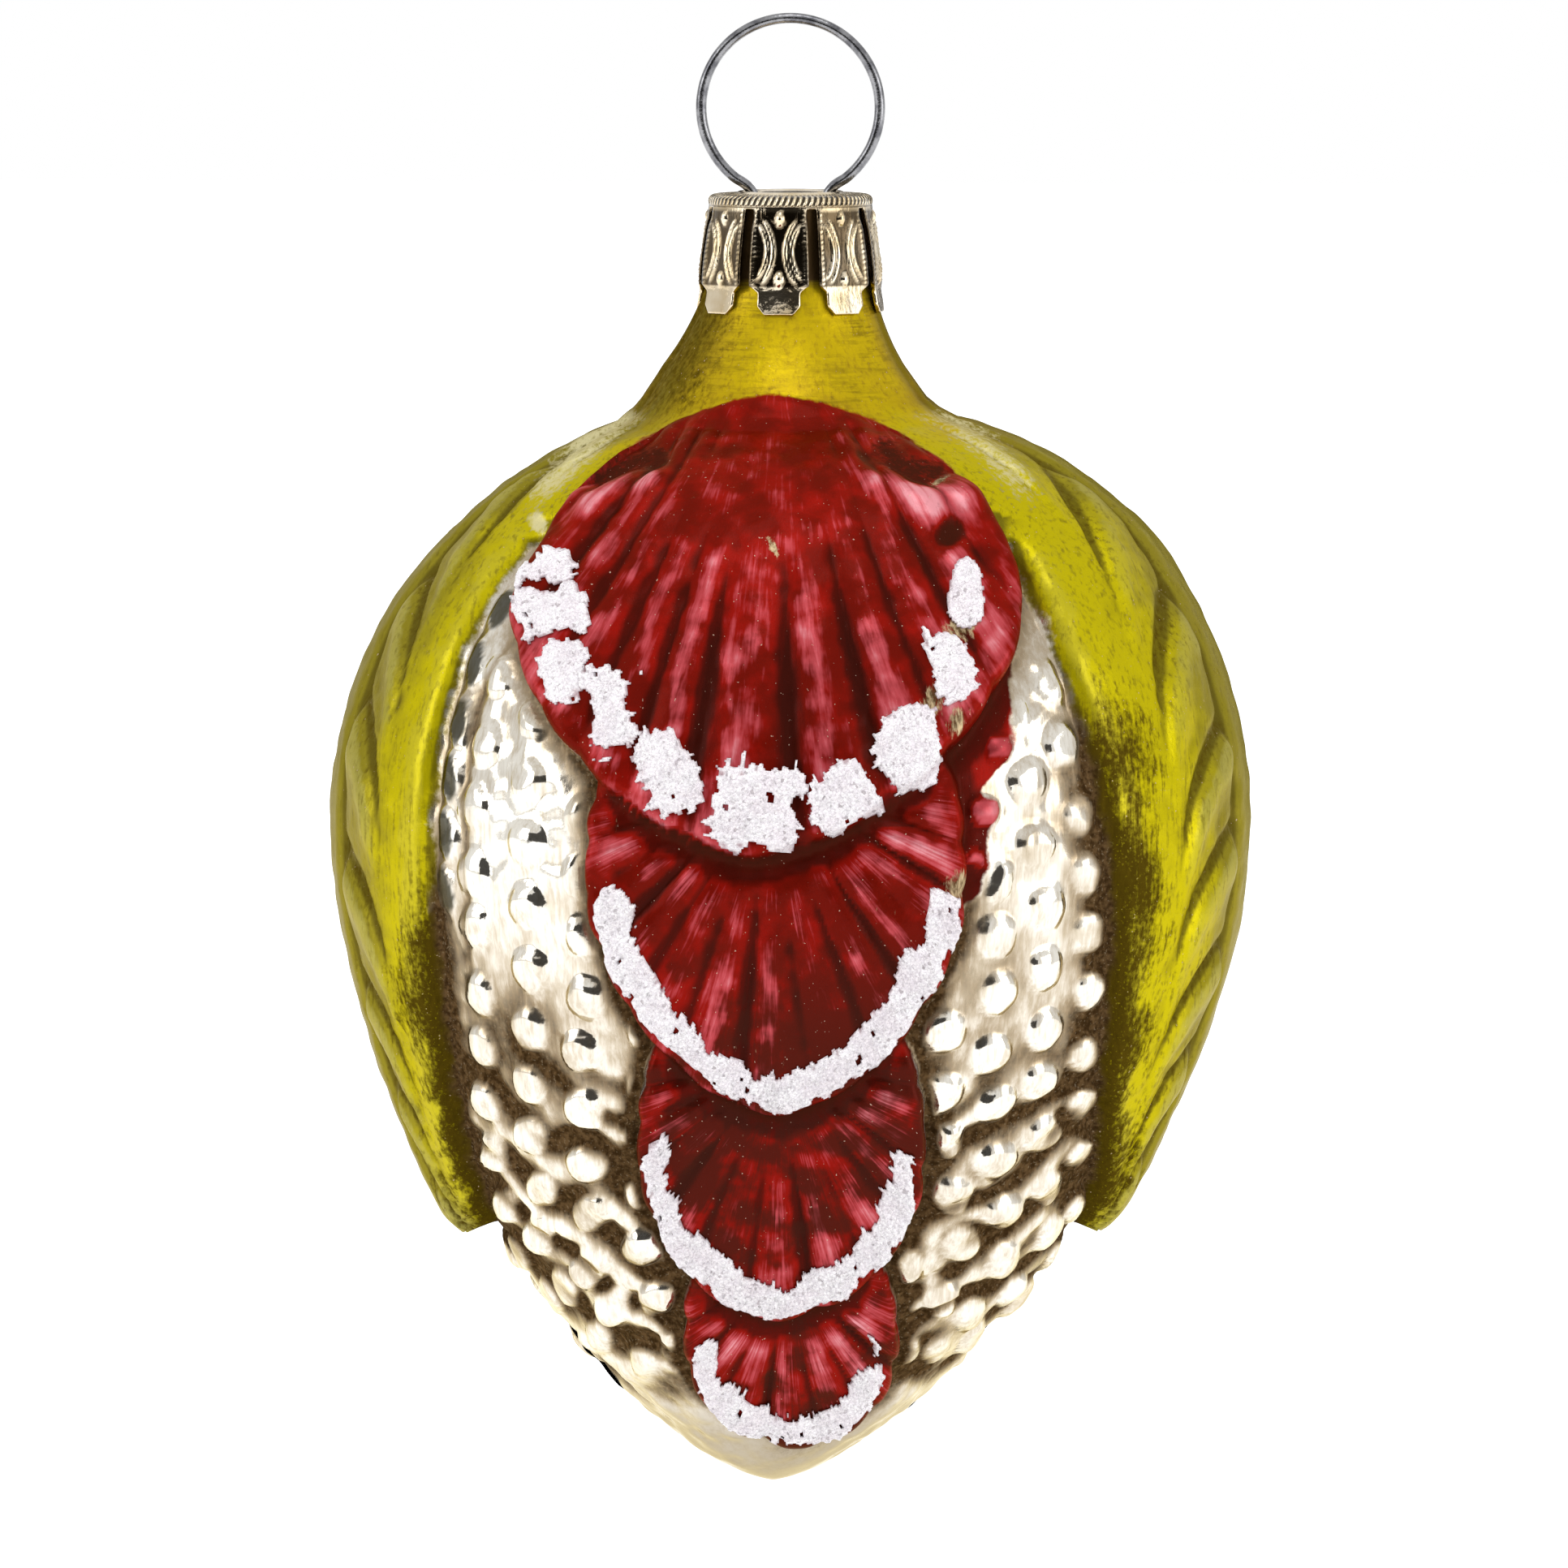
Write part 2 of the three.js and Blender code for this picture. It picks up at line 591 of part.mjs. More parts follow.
// The hollow inside the glass, open at the neck.
function cavity() {
  const wall = outlinePoints.filter((point, index) => index % 40 === 0);
  const inside = wall.map((point) => {
    const face = skin(Math.PI / 2, point.y, -glassWall);
    return new THREE.Vector2(Math.max(face.x, 0), face.z);
  });
  const bore = new THREE.Vector2(neckRadius - glassWall, lipHeight + overlap);
  const floor = new THREE.Vector2(0, -overallDepth + glassWall);
  const upwards = [floor, ...inside.slice(1, -1).reverse(), bore, new THREE.Vector2(0, bore.y)];
  const geometry = turned(upwards, 24);
  const place = geometry.attributes.position;
  for (let i = 0; i < place.count; i++) place.setY(i, place.getY(i) * thinness(place.getZ(i)));
  return solidOf(geometry);
}

// A trim that follows a shell's rim between two angles, over the crests of its ribs.
function trim(shell, from, to, width) {
  const columns = Math.max(3, Math.round((to - from) / 11));
  return plate(columns, 1, (u, v, isTop) => {
    const rim = onRim(shell, radians(blend(from, to, u)));
    const hinge = hingeOf(shell);
    const share = 1 - (trimInset + width * (1 - v)) / hinge.distanceTo(rim);
    const place = hinge.lerp(rim, share);
    const seat = shellHeight(shell, 1, place.y) + trimClearance;
    return onFront(place, seat + (isTop ? trimThickness : 0));
  });
}

function glitterTrims() {
  const group = new THREE.Group();
  for (const [face, turn] of [["front", 0], ["back", Math.PI]]) {
    dabs.forEach(({ middle, span }, index) => {
      const name = `glitter_dab_${face}_${String(index + 1).padStart(2, "0")}`;
      const dab = trim(shells[0], middle - span / 2, middle + span / 2, dabWidth);
      group.add(namedMesh(name, leaned(dab.rotateZ(turn)), glitterWhite));
    });
    shells.slice(1).forEach((shell, index) => {
      const band = trim(shell, -bandReach, bandReach, bandWidth);
      group.add(namedMesh(`glitter_band_${face}_${index + 2}`, leaned(band.rotateZ(turn)), glitterWhite));
    });
  }
  return group;
}

const ornament = new THREE.Group();
ornament.add(namedMesh("hanger", hanger(), steelGrey));
ornament.add(namedMesh("cap", cap(), capSilver));
ornament.add(namedMesh("glass_body", glassBody(), silveredGlass));
ornament.add(glitterTrims());

export default ornament;
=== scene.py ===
"""Looks of an egg ornament: mould-blown silvered glass with red scallop shells, green leaves and beads.

Shapes are worked out in millimetres, with the hook point at the origin, +Z up and the front at -Y.
"""
import math

import bmesh
import bpy
import numpy as np
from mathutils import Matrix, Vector, noise


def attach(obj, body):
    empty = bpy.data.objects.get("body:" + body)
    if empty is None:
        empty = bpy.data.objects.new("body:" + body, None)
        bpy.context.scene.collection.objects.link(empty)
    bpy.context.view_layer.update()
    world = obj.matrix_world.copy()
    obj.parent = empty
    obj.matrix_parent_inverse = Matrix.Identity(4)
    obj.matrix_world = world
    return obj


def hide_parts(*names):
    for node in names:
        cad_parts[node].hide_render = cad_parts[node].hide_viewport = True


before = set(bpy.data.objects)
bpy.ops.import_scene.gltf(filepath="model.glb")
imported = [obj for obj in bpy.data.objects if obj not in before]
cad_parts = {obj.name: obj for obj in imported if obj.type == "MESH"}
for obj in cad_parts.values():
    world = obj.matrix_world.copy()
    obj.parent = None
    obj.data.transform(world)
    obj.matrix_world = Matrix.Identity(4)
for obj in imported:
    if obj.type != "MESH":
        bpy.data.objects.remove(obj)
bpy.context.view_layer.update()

MM = 0.001

# The glass
NECK_LIP = (4.05, -10.27)
NECK_FOOT = (8.4, -22.3)
WIDEST = (24.2, -45.5)
TIP_DEPTH = 83.65
FULLNESS, TIP_RADIUS, TIP_RISE = 16.9, 7.7, 1.06  # shape the taper below the widest place
LEAN_DEPTHS = (10, 16, 19.5, 22, 25, 28, 34, 58, 67, 75, 83.65)
LEAN = (0, -0.1, -0.4, -0.3, 0.1, 0.15, 0, 0, -0.3, -0.65, -1.0)  # how far it stands off its axis there
THINNED = (22.3, 34.0, 23.3 / 24.2)  # from this depth to that one, drawn in front to back to this share
WALL = 0.7
SEAM_LEFT, SEAM_RIGHT = -85.5, 94.5  # degrees from the front to the mould's parting lines
LEAF_TIP = 69.0
PANEL_CENTRE = 2.0  # degrees from the front to the line where the two panels would meet

# The cap
PRONGS = 8
PRONG_TURN = -3.0
SLOT_TURN = 7.3  # degrees from one prong to the next
CAP_SHEET = 0.22
TOP_EDGE = (3.8, -9.72)  # where the top bends over into the rim
RIM_RADIUS, RIM_DEPTH = 4.65, 10.1
RIM_TICKS = 84  # strokes of the knurled rim, with painted shade between them
SKIRT_RADIUS = 5.2
SLOT_TOP = 10.45
SHOULDER_DEPTH = 15.15
TONGUE_END = 16.45
HOLE_RADIUS = 0.6

# The wire
WIRE = 0.6
RING = 9.64  # across the inside of the ring
RING_OPENING = 6.2  # between the wire's middle lines, where the ring turns down
LEG_SPACING = 4.2  # the same, where the legs pass through the cap
LEG_TOP, LEG_END = 10.0, 25.1  # depths
LEG_SPRING = 0.35  # how far each leg leans outwards on its way down
BEND_RISE = 0.25  # keeps the bends off the edges of their holes when the cap tilts

# The studio, with the camera from the photograph
CAMERA_TURN, CAMERA_RISE = 4.5, 4.0
CAMERA_DISTANCE = 1.1
CAMERA_TARGET = (-0.37, -43.57)
CAMERA_LENS = 440.8
SENSOR = 36.0
MIDDLE = Vector((0, 0, -0.045))
LAMP_DISTANCE = 0.9
FLOOR = -0.125  # below the glass when it is pulled off its cap
WHITE = (1, 1, 1, 1)


def ramp(value, low, high):
    """0 below low, 1 above high and smooth between. low may be the larger."""
    t = np.clip((value - low) / (high - low), 0.0, 1.0)
    return t * t * (3 - 2 * t)


def bump(distance, width):
    return np.exp(-(distance / width) ** 2)


def bulge(share):
    """A rounded edge: 0 at an edge, 1 from share 1 on."""
    t = np.clip(share, 0.0, 1.0)
    return 1 - (1 - t) ** 2.4


def soft_max(a, b, blend=0.16):
    t = np.clip(0.5 + 0.5 * (a - b) / blend, 0.0, 1.0)
    return b + (a - b) * t + blend * t * (1 - t)


def bezier(points, count):
    a, b, c, d = (np.array(point, float) for point in points)
    t = np.linspace(0, 1, count)[:, None]
    return (1 - t) ** 3 * a + 3 * (1 - t) ** 2 * t * b + 3 * (1 - t) * t * t * c + t ** 3 * d


def turned(right, up, turn):
    c, s = math.cos(turn), math.sin(turn)
    return right * c - up * s, right * s + up * c


def glass_points():
    """The glass's outer face without its relief, as (radius, height) from the lip to the tip."""
    lip = np.array([NECK_LIP, (NECK_LIP[0], NECK_LIP[1] - 0.4)])
    neck = bezier((lip[1], (4.2, -16.5), (6.2, -18.8), NECK_FOOT), 200)
    start = math.acos((NECK_FOOT[0] + 1) / WIDEST[0])
    turn = np.linspace(start, 0, 300)
    dome = np.stack([WIDEST[0] * np.cos(turn), WIDEST[1] + WIDEST[0] * np.sin(turn)], 1)
    lower = bezier((WIDEST, (WIDEST[0], WIDEST[1] - FULLNESS), (TIP_RADIUS, -TIP_DEPTH + TIP_RISE),
                    (0, -TIP_DEPTH)), 400)
    return np.concatenate([lip[:1], neck, dome, lower[1:]])


class Outline:
    """A profile of (radius, height) points, read by how far one has run along it."""

    def __init__(self, points):
        steps = np.hypot(*np.diff(points, axis=0).T)
        self.runs = np.concatenate([[0.0], np.cumsum(steps)])
        self.radii, self.heights = points.T
        self.length = self.runs[-1]

    def radius(self, run):
        return np.interp(run, self.runs, self.radii)

    def height(self, run):
        return np.interp(run, self.runs, self.heights)

    def run_at(self, height):
        return np.interp(-height, -self.heights, self.runs)

    def normal(self, run):
        """The outward direction, as (radial, upward)."""
        near = 0.25
        before = np.clip(run - near, 0, self.length)
        after = np.clip(run + near, 0, self.length)
        along = np.stack([self.radius(after) - self.radius(before), self.height(after) - self.height(before)])
        along /= np.hypot(*along)
        return -along[1], along[0]


glass_outline = Outline(glass_points())


def thinness(height):
    start, end, share = THINNED
    return 1 + (share - 1) * ramp(-height, start, end)


def on_glass(azimuth, run, raised):
    """Points on the glass, raised square to it. azimuth is in degrees from the front."""
    radial, upward = glass_outline.normal(run)
    radius = glass_outline.radius(run) + radial * raised
    height = glass_outline.height(run)
    turn = np.radians(azimuth)
    return np.stack([radius * np.sin(turn), -radius * np.cos(turn) * thinness(height),
                     height + upward * raised], -1)


def placed(points, half="front"):
    """Points of the front's pattern where they belong: the back is turned half a turn, and both lean."""
    points = points * np.array([-1, -1, 1]) if half == "back" else points.copy()
    points[..., 0] += np.interp(-points[..., 2], LEAN_DEPTHS, LEAN)
    return points


class Shell:
    """One scallop shell, read from the front: an outline, a hinge and grooves that fan out from it.

    middle, hinge, fan and top are depths. points are the outline's exponents below and above its middle:
    2 is an ellipse and 1 a diamond.
    """

    def __init__(self, middle, half_width, half_height, offset, hinge, fan, grooves, depths, points, top):
        self.middle, self.half_width, self.half_height = middle, half_width, half_height
        self.offset, self.hinge, self.fan, self.top = offset, hinge, fan, top
        self.low_point, self.top_point = points
        self.grooves, self.depths = np.array(grooves, float), np.array(depths, float)
        x, depth = self.rim(np.linspace(-179, 179, 1200))
        self.spokes = np.degrees(np.arctan2(x - offset, depth - hinge))
        self.lengths = np.hypot(x - offset, depth - hinge)

    def rim(self, angle):
        """The rim at an angle from its lowest point, as (x, depth)."""
        across, down = np.sin(np.radians(angle)), np.cos(np.radians(angle))
        point = np.where(down < 0, self.top_point, self.low_point)
        return (self.offset + self.half_width * np.sign(across) * np.abs(across) ** (2 / point),
                self.middle + self.half_height * np.sign(down) * np.abs(down) ** (2 / point))

    def read(self, x, z):
        """Millimetres inside the rim, the share of the way from hinge to rim, and the spoke's angle."""
        across, down = x - self.offset, -z - self.hinge
        spoke = np.degrees(np.arctan2(across, down))
        share = np.hypot(across, down) / np.interp(spoke, self.spokes, self.lengths)
        u = np.abs(across / self.half_width) + 1e-6
        v = np.abs((-z - self.middle) / self.half_height) + 1e-6
        point = np.where(-z < self.middle, self.top_point, self.low_point)
        level = (u ** point + v ** point) ** (1 / point)
        slope = level ** (1 - point) * np.hypot(u ** (point - 1) / self.half_width,
                                                v ** (point - 1) / self.half_height)
        return (1 - level) / slope, share, spoke

    def rib(self, x, z):
        """How high the ribs stand, from 0 in a deep groove to 1 on a ridge, and the angle round the fan."""
        angle = np.degrees(np.arctan2(x - self.offset, -z - self.fan))
        place = np.interp(angle, self.grooves, np.arange(len(self.grooves)))
        nearest = np.round(place).astype(int)
        pillow = np.abs(np.sin(np.pi * place)) ** 0.95
        return 1 - self.depths[nearest] * (1 - pillow), angle

    def height(self, x, z):
        """The shell's height, millimetres inside its rim, how high its ribs stand and the fan's angle."""
        inside, share, spoke = self.read(x, z)
        ribs, angle = self.rib(x, z)
        inside = inside + 0.3 * (ribs - 0.6) * ramp(share, 0.6, 0.9) * ramp(np.abs(spoke), 100, 80)
        fanned = ramp(share, 0.22, 0.62) * (1 - 0.45 * ramp(share, 0.86, 0.98)) * ramp(np.abs(spoke), 108, 82)
        lift = 0.5 + 1.05 * np.clip(share, 0, 1) ** 1.5
        lift = lift * (0.25 + 0.75 * ramp(-z, self.top, self.top + 8))
        height = (lift + 0.5 * (ribs - 0.75) * fanned) * bulge(inside / 0.8)
        return height, inside, 1 - (1 - ribs) * fanned, angle


def even_grooves(pitch, count):
    return [pitch * (k - count / 2) for k in range(count + 1)]


def mixed_depths(count):
    """Groove depths that differ a little from one to the next."""
    return [0.62 + 0.3 * math.sin(2.3 * k) for k in range(count + 1)]


SHELLS = [
    Shell(33.5, 14.15, 12.65, -0.1, 23.4, 16.0,
          [-66, -58, -50, -42.5, -35.5, -28.5, -21.5, -14.5, -7.5, 4.8, 15, 23, 31, 38.5, 46, 54, 62, 70],
          [0.4, 0.45, 0.5, 0.6, 0.7, 0.55, 0.6, 0.7, 1.1, 1.1, 1.0, 0.6, 0.75, 0.6, 0.6, 0.5, 0.45, 0.4],
          (1.6, 1.7), 20.8),
    Shell(48.2, 10.45, 12.4, 0.85, 42.5, 41.5, even_grooves(12.6, 19), mixed_depths(19), (1.65, 3.2), 38.0),
    Shell(63.0, 7.95, 9.6, 1.05, 58.5, 57.5, even_grooves(14.5, 17), mixed_depths(17), (1.85, 3.2), 54.0),
    Shell(74.0, 5.9, 6.5, 1.45, 71.0, 70.0, even_grooves(18.0, 13), mixed_depths(13), (1.9, 3.2), 66.0),
]
EAR_CREASES = [
    [(-9.9, -25.9), (-8.9, -25.3), (-7.7, -24.8), (-6.8, -24.5)],
    [(6.1, -24.3), (6.8, -25.0), (7.7, -25.5), (8.7, -25.6)],
]
EAR_KNOB, EAR_DENT = (10.2, -27.6), (9.6, -29.1)
# Places where the red has rubbed off, each as x, z, half width, half height and turn
WORN = [
    (10.6, -33.8, 0.7, 1.2, 40), (9.2, -37.6, 0.6, 1.2, 30), (10.4, -38.9, 0.5, 0.7, 0),
    (10.3, -36.0, 0.35, 0.8, 30), (-13.4, -28.4, 0.5, 0.5, 0), (0.3, -29.4, 0.2, 0.7, -32),
    (10.6, -47.6, 0.6, 1.0, 10), (8.9, -26.4, 0.3, 0.6, 50),
]
RED_KNOBS = [(13.2, -40.2, 0.7), (12.4, -43.7, 0.9), (11.6, -46.4, 0.85), (10.5, -49.0, 0.8)]  # x, z, radius
# The wavy outer edge of the red below and beside the upper shell, as x and z
RED_SMEAR = [(14.3, -34.0), (14.1, -38.0), (13.9, -40.8), (12.4, -42.2), (13.0, -43.8), (12.7, -45.6),
             (12.0, -48.0), (11.0, -49.8)]

# Where the creases of the left and the right leaf start beside the midrib, as depths
LEFT_CREASES = [10.5, 18.0, 24.5, 31.4, 38.2, 46.4, 53.6, 59.2, 64.2, 69.0, 74.0]
RIGHT_CREASES = [11.0, 18.4, 25.5, 32.6, 39.8, 45.2, 51.5, 57.2, 63.0, 68.5, 74.0]


def to_line(x, z, points):
    """The distance to a line through points."""
    nearest = np.full(np.shape(x), 1e3)
    for (ax, az), (bx, bz) in zip(points, points[1:]):
        length = (bx - ax) ** 2 + (bz - az) ** 2
        t = np.clip(((x - ax) * (bx - ax) + (z - az) * (bz - az)) / length, 0, 1)
        nearest = np.minimum(nearest, np.hypot(x - ax - t * (bx - ax), z - az - t * (bz - az)))
    return nearest


# How many degrees of the glass each leaf covers from the seam inwards, at these depths
SPAN_DEPTHS = [26, 31, 36, 44, 50, 54, 59, 63, 66.5, 68.2, LEAF_TIP]
LEFT_SPANS = [36, 34.6, 34.6, 34.7, 33.6, 31.8, 27.0, 21.6, 15.0, 9.5, 0.5]
RIGHT_SPANS = [48, 48.4, 48.2, 44.4, 41.5, 39.4, 36.2, 27.5, 17.0, 9.5, 0.5]


def leaf_width(height, side):
    """Degrees from the seam to the leaf's inner edge."""
    return np.interp(-height, SPAN_DEPTHS, LEFT_SPANS if side < 0 else RIGHT_SPANS)


LEAF_DEPTHS = [18.5, 21.5, 23.5, 26, 31, 44, 56, 62, 71]
LEFT_LEAF = [0, 0.1, 0.45, 0.75, 1.45, 2.0, 2.1, 2.35, 2.6]  # how high the leaf at the left stands there
RIGHT_LEAF = [0, 0.1, 0.8, 1.4, 2.0, 2.0, 1.95, 2.05, 2.45]


def leaf(from_seam, height, radius, side, starts, standing):
    """A leaf's height, the same without its rounded edge, millimetres inside that edge, and its creases."""
    width = np.maximum(leaf_width(height, side), 0.02)
    across = np.clip(from_seam / width, 0, 3)
    inside = np.radians(width - from_seam) * radius
    below_tip = (-height - LEAF_TIP + 0.7) * 1.5
    inside = np.where(below_tip > 0, np.minimum(inside, -below_tip), inside)
    covered = inside + 24 * ramp(-height, 29.5, 24.5)
    rounded_end = np.sqrt(np.clip(1 - np.clip((-height - LEAF_TIP + 2.6) / 2.6, 0, 1) ** 2, 0, 1))
    full_height = np.interp(-height, LEAF_DEPTHS, standing) * (0.25 + 0.75 * rounded_end)
    ridge = 0.55 + 0.45 * np.clip(1 - across, 0, 1) ** 0.7
    run_down = 3.3 * np.log(0.45 / np.clip(0.75 - across, 0.004, 0.45))
    phase = np.interp(-height - run_down, starts, np.arange(len(starts)))
    near = phase - np.round(phase)
    fading = 1 - ramp(run_down, 2.5, 9.5)
    on_lobes = ramp(across, 0.25, 0.34) * fading * ramp(-height, 21, 27)
    crease = on_lobes * bump(near * 5.2, np.where(near > 0, 1.0, 0.45))
    pillow = on_lobes * (0.5 + 0.5 * np.cos(2 * np.pi * (near - 0.28)))
    midrib = 1 - ramp(across, 0.2, 0.29)
    rib_groove = bump((across - 0.3) * np.radians(width) * radius, 0.45) * ramp(-height, 22, 28)
    face = full_height * ridge + 0.45 * pillow - 0.45 * crease + 0.2 * midrib - 0.25 * rib_groove
    return face * bulge(covered / 1.2), face, covered, np.maximum(crease, 0.8 * rib_groove)


def bead_columns(side):
    """The beads of one panel, as (share of the way from the leaf to the middle, depth, stretch)."""
    first, pitch_across = (0.148, 0.177) if side < 0 else (0.069, 0.16)
    beads = []
    for column in range(5):
        depth = 36.4 + (1.86 if column % 2 else 0.0)
        pitch = 3.75
        while depth < 79:
            beads.append((first + pitch_across * column, depth, ramp(depth, 58, 72)))
            depth += pitch
            pitch *= 0.975
    return beads


def bead_field(azimuth, run, side, seam, seed):
    """The raised beads of one panel, smooth and closer together towards the tip."""
    field = np.zeros_like(azimuth)
    draw = np.random.default_rng(seed)
    for share, depth, stretch in bead_columns(side):
        jitter = draw.normal(0, 0.16, 3)
        fade = 1 - ramp(depth, 73.0, 79.0)
        height = -(depth + jitter[0])
        at_run = glass_outline.run_at(height)
        at_radius = glass_outline.radius(at_run)
        edge = leaf_width(height, side)
        from_seam = edge + share * (abs(PANEL_CENTRE - seam) - edge) + np.degrees(jitter[1] / at_radius)
        centre = seam - side * from_seam
        down = run - at_run
        beside = np.radians(azimuth - centre) * at_radius * side
        along, cross = turned(down, beside, 0.75 * stretch)
        size = (1.32 + 0.25 * jitter[2]) * (0.8 + 0.2 * ramp(at_radius, 9, 15))
        reach = (along / (size * (1 - 0.12 * stretch))) ** 2 + (cross / (size * (1 + 0.5 * stretch))) ** 2
        tall = 0.42 + 0.26 * ramp(depth, 44, 60)
        dome = tall * np.sqrt(np.clip(1 - reach * 0.72, 0, 1)) * ramp(reach, 1.42, 0.5)
        field = np.maximum(field, dome * fade)
    return field


def teardrops(azimuth, run, side, seam):
    """Small lens-shaped beads close along the leaf's inner edge, and a painted dark reflection inside each."""
    field = np.zeros_like(azimuth)
    dark = np.zeros_like(azimuth)
    for depth in np.arange(32.8, 50.0, 3.15):
        at_run = glass_outline.run_at(-depth)
        at_radius = glass_outline.radius(at_run)
        from_seam = leaf_width(-depth, side) + np.degrees(0.95 / at_radius)
        beside = np.radians(azimuth - (seam - side * from_seam)) * at_radius
        down = run - at_run + 0.5 * beside * side
        reach = (beside / 1.1) ** 2 + (down / 1.6) ** 2
        field = np.maximum(field, 0.3 * ramp(reach, 1.3, 0.5))
        # painted reflection: a dark shape inside each lens
        dark = np.maximum(dark, ramp((beside / 0.85) ** 2 + np.abs(down / 1.35) ** 1.3, 1.1, 0.8))
    return field, dark


def blurred(grid, reach):
    """The average over a square of (2 reach + 1) cells, twice over."""
    for axis in (0, 1, 0, 1):
        padding = [(0, 0), (0, 0)]
        padding[axis] = (reach + 1, reach)
        total = np.cumsum(np.pad(grid, padding, mode="edge"), axis=axis)
        span = 2 * reach + 1
        later = np.take(total, range(span, total.shape[axis]), axis=axis)
        sooner = np.take(total, range(total.shape[axis] - span), axis=axis)
        grid = (later - sooner) / span
    return grid


def waver(points, scale, seed):
    """Smooth noise at points, about -0.5 to 0.5."""
    shift = Vector((seed * 3.7, seed * 1.3, seed * 5.1))
    values = [noise.noise(Vector(point) * scale + shift) for point in points.reshape(-1, 3)]
    return np.array(values).reshape(points.shape[:-1])


class Relief:
    """One moulded half of the glass: heights and paint masks over a grid of azimuths and runs."""

    def __init__(self, half, seed):
        parts = [(SEAM_LEFT, -50, 44), (-50, -40, 20), (-40, 40, 178), (40, 50, 20)]
        parts = [np.linspace(start, end, count, endpoint=False) for start, end, count in parts]
        self.azimuths = np.concatenate([*parts, np.linspace(50, SEAM_RIGHT, 57)])
        neck_end = glass_outline.run_at(-17.0)
        self.runs = np.concatenate([np.linspace(0, neck_end, 20, endpoint=False),
                                    np.linspace(neck_end, glass_outline.length, 289)])
        azimuth, run = np.meshgrid(self.azimuths, self.runs)
        self.build(azimuth, run, half, seed)

    def build(self, azimuth, run, half, seed):
        radius = glass_outline.radius(run)
        z = glass_outline.height(run)
        x = radius * np.sin(np.radians(azimuth))
        is_left, is_right = azimuth < 0, azimuth > 0
        facing = np.cos(np.radians(azimuth)) > 0.1
        places = placed(on_glass(azimuth, run, 0 * run), half)
        wobble = waver(places, 0.22, 1)
        ripple = waver(places, 0.9, 5)

        # The leaves
        standing = (LEFT_LEAF, RIGHT_LEAF) if half == "front" else (RIGHT_LEAF, LEFT_LEAF)
        left = leaf(azimuth - SEAM_LEFT, z, radius, -1, LEFT_CREASES, standing[0])
        right = leaf(SEAM_RIGHT - azimuth, z, radius, 1, RIGHT_CREASES, standing[1])
        to_right = ramp(azimuth, -32, 32)
        leaves, face = (left[k] * (1 - to_right) + right[k] * to_right for k in (0, 1))
        leaf_inside, leaf_crease = (np.where(is_left, left[k], right[k]) for k in (2, 3))
        shoulder = 0.4 * face * ramp(-z, 34, 23.5)
        from_seam = np.where(is_left, azimuth - SEAM_LEFT, SEAM_RIGHT - azimuth)
        leaf_span = np.where(is_left, leaf_width(z, -1) + 45 * ramp(-z, 26, 20), leaf_width(z, 1))
        margin = np.clip(from_seam / np.maximum(leaf_span, 6) + np.where(is_left, 0, 0.16), 0, 1.2)

        # The beads
        beads = np.maximum(bead_field(azimuth, run, -1, SEAM_LEFT, seed + 11) * (azimuth < PANEL_CENTRE),
                           bead_field(azimuth, run, 1, SEAM_RIGHT, seed + 12) * (azimuth > PANEL_CENTRE))
        drops, lens = teardrops(azimuth, run, -1, SEAM_LEFT)
        beads = np.maximum(beads, drops * is_left)

        # The shells, and the red lacquer on and beside them
        red = np.full_like(x, -50.0)
        rim_near, inner = np.full_like(x, 50.0), np.full_like(x, 50.0)
        shell_height, fan, painted_rim_shadow, overlap, knobs, wear_and_sheen = (np.zeros_like(x) for _ in range(6))
        ribs = np.ones_like(x)
        for number, shell in enumerate(SHELLS):
            height, inside, rib, angle = shell.height(x, z)
            inside = np.where(facing, inside, -50.0)
            height = np.where(inside > 0, height, 0.0)
            if number == 0:
                height = height + self.ears(x, z) * (inside > 0.3)
            on_top = (inside > 0) & (height >= shell_height)
            ribs = np.where(on_top, rib, ribs)
            fan = np.where(on_top, angle + 90 * number, fan)
            inner = np.where(on_top, inside, inner)
            red = np.maximum(red, inside)
            shell_height = np.maximum(shell_height, height)
        for shell in SHELLS:
            inside, _, spoke = shell.read(x, z)
            outside = np.where(facing & (np.abs(spoke) < 112), -inside, 50.0)
            rim_near = np.where((outside > -0.1) & (outside < rim_near), outside, rim_near)
            # painted shadow: a dark band just below each shell's rim, widest under its middle
            thinning = 0.15 + 0.85 * bump(spoke, 24)
            below = np.where(outside > -0.3, bump(np.maximum(outside, 0), 0.2 + 0.3 * thinning) * thinning, 0)
            painted_rim_shadow = np.maximum(painted_rim_shadow, below)
            if shell is not SHELLS[-1]:
                covers = facing & (inside < 0) & (np.abs(spoke) < 70)
                overlap = np.maximum(overlap, np.where(covers, bump(inside + 0.35, 0.7), 0))
        for knob_x, knob_z, size in RED_KNOBS:
            away = np.where(facing, np.hypot(x - knob_x, z - knob_z), 50.0)
            knobs = np.maximum(knobs, 0.55 * np.sqrt(np.clip(1 - (away / size) ** 2, 0, 1)))
            red = np.maximum(red, size - away + 0.1)
        smear_x, smear_z = np.array(RED_SMEAR).T
        smeared = np.interp(-z, -smear_z, smear_x) + 0.5 * wobble + 0.35 * ripple - x
        smeared = np.minimum(smeared, np.minimum(-z - 34.5, 50.0 + z))
        red = np.maximum(red, np.where(facing & (x > 6), smeared, -50.0))

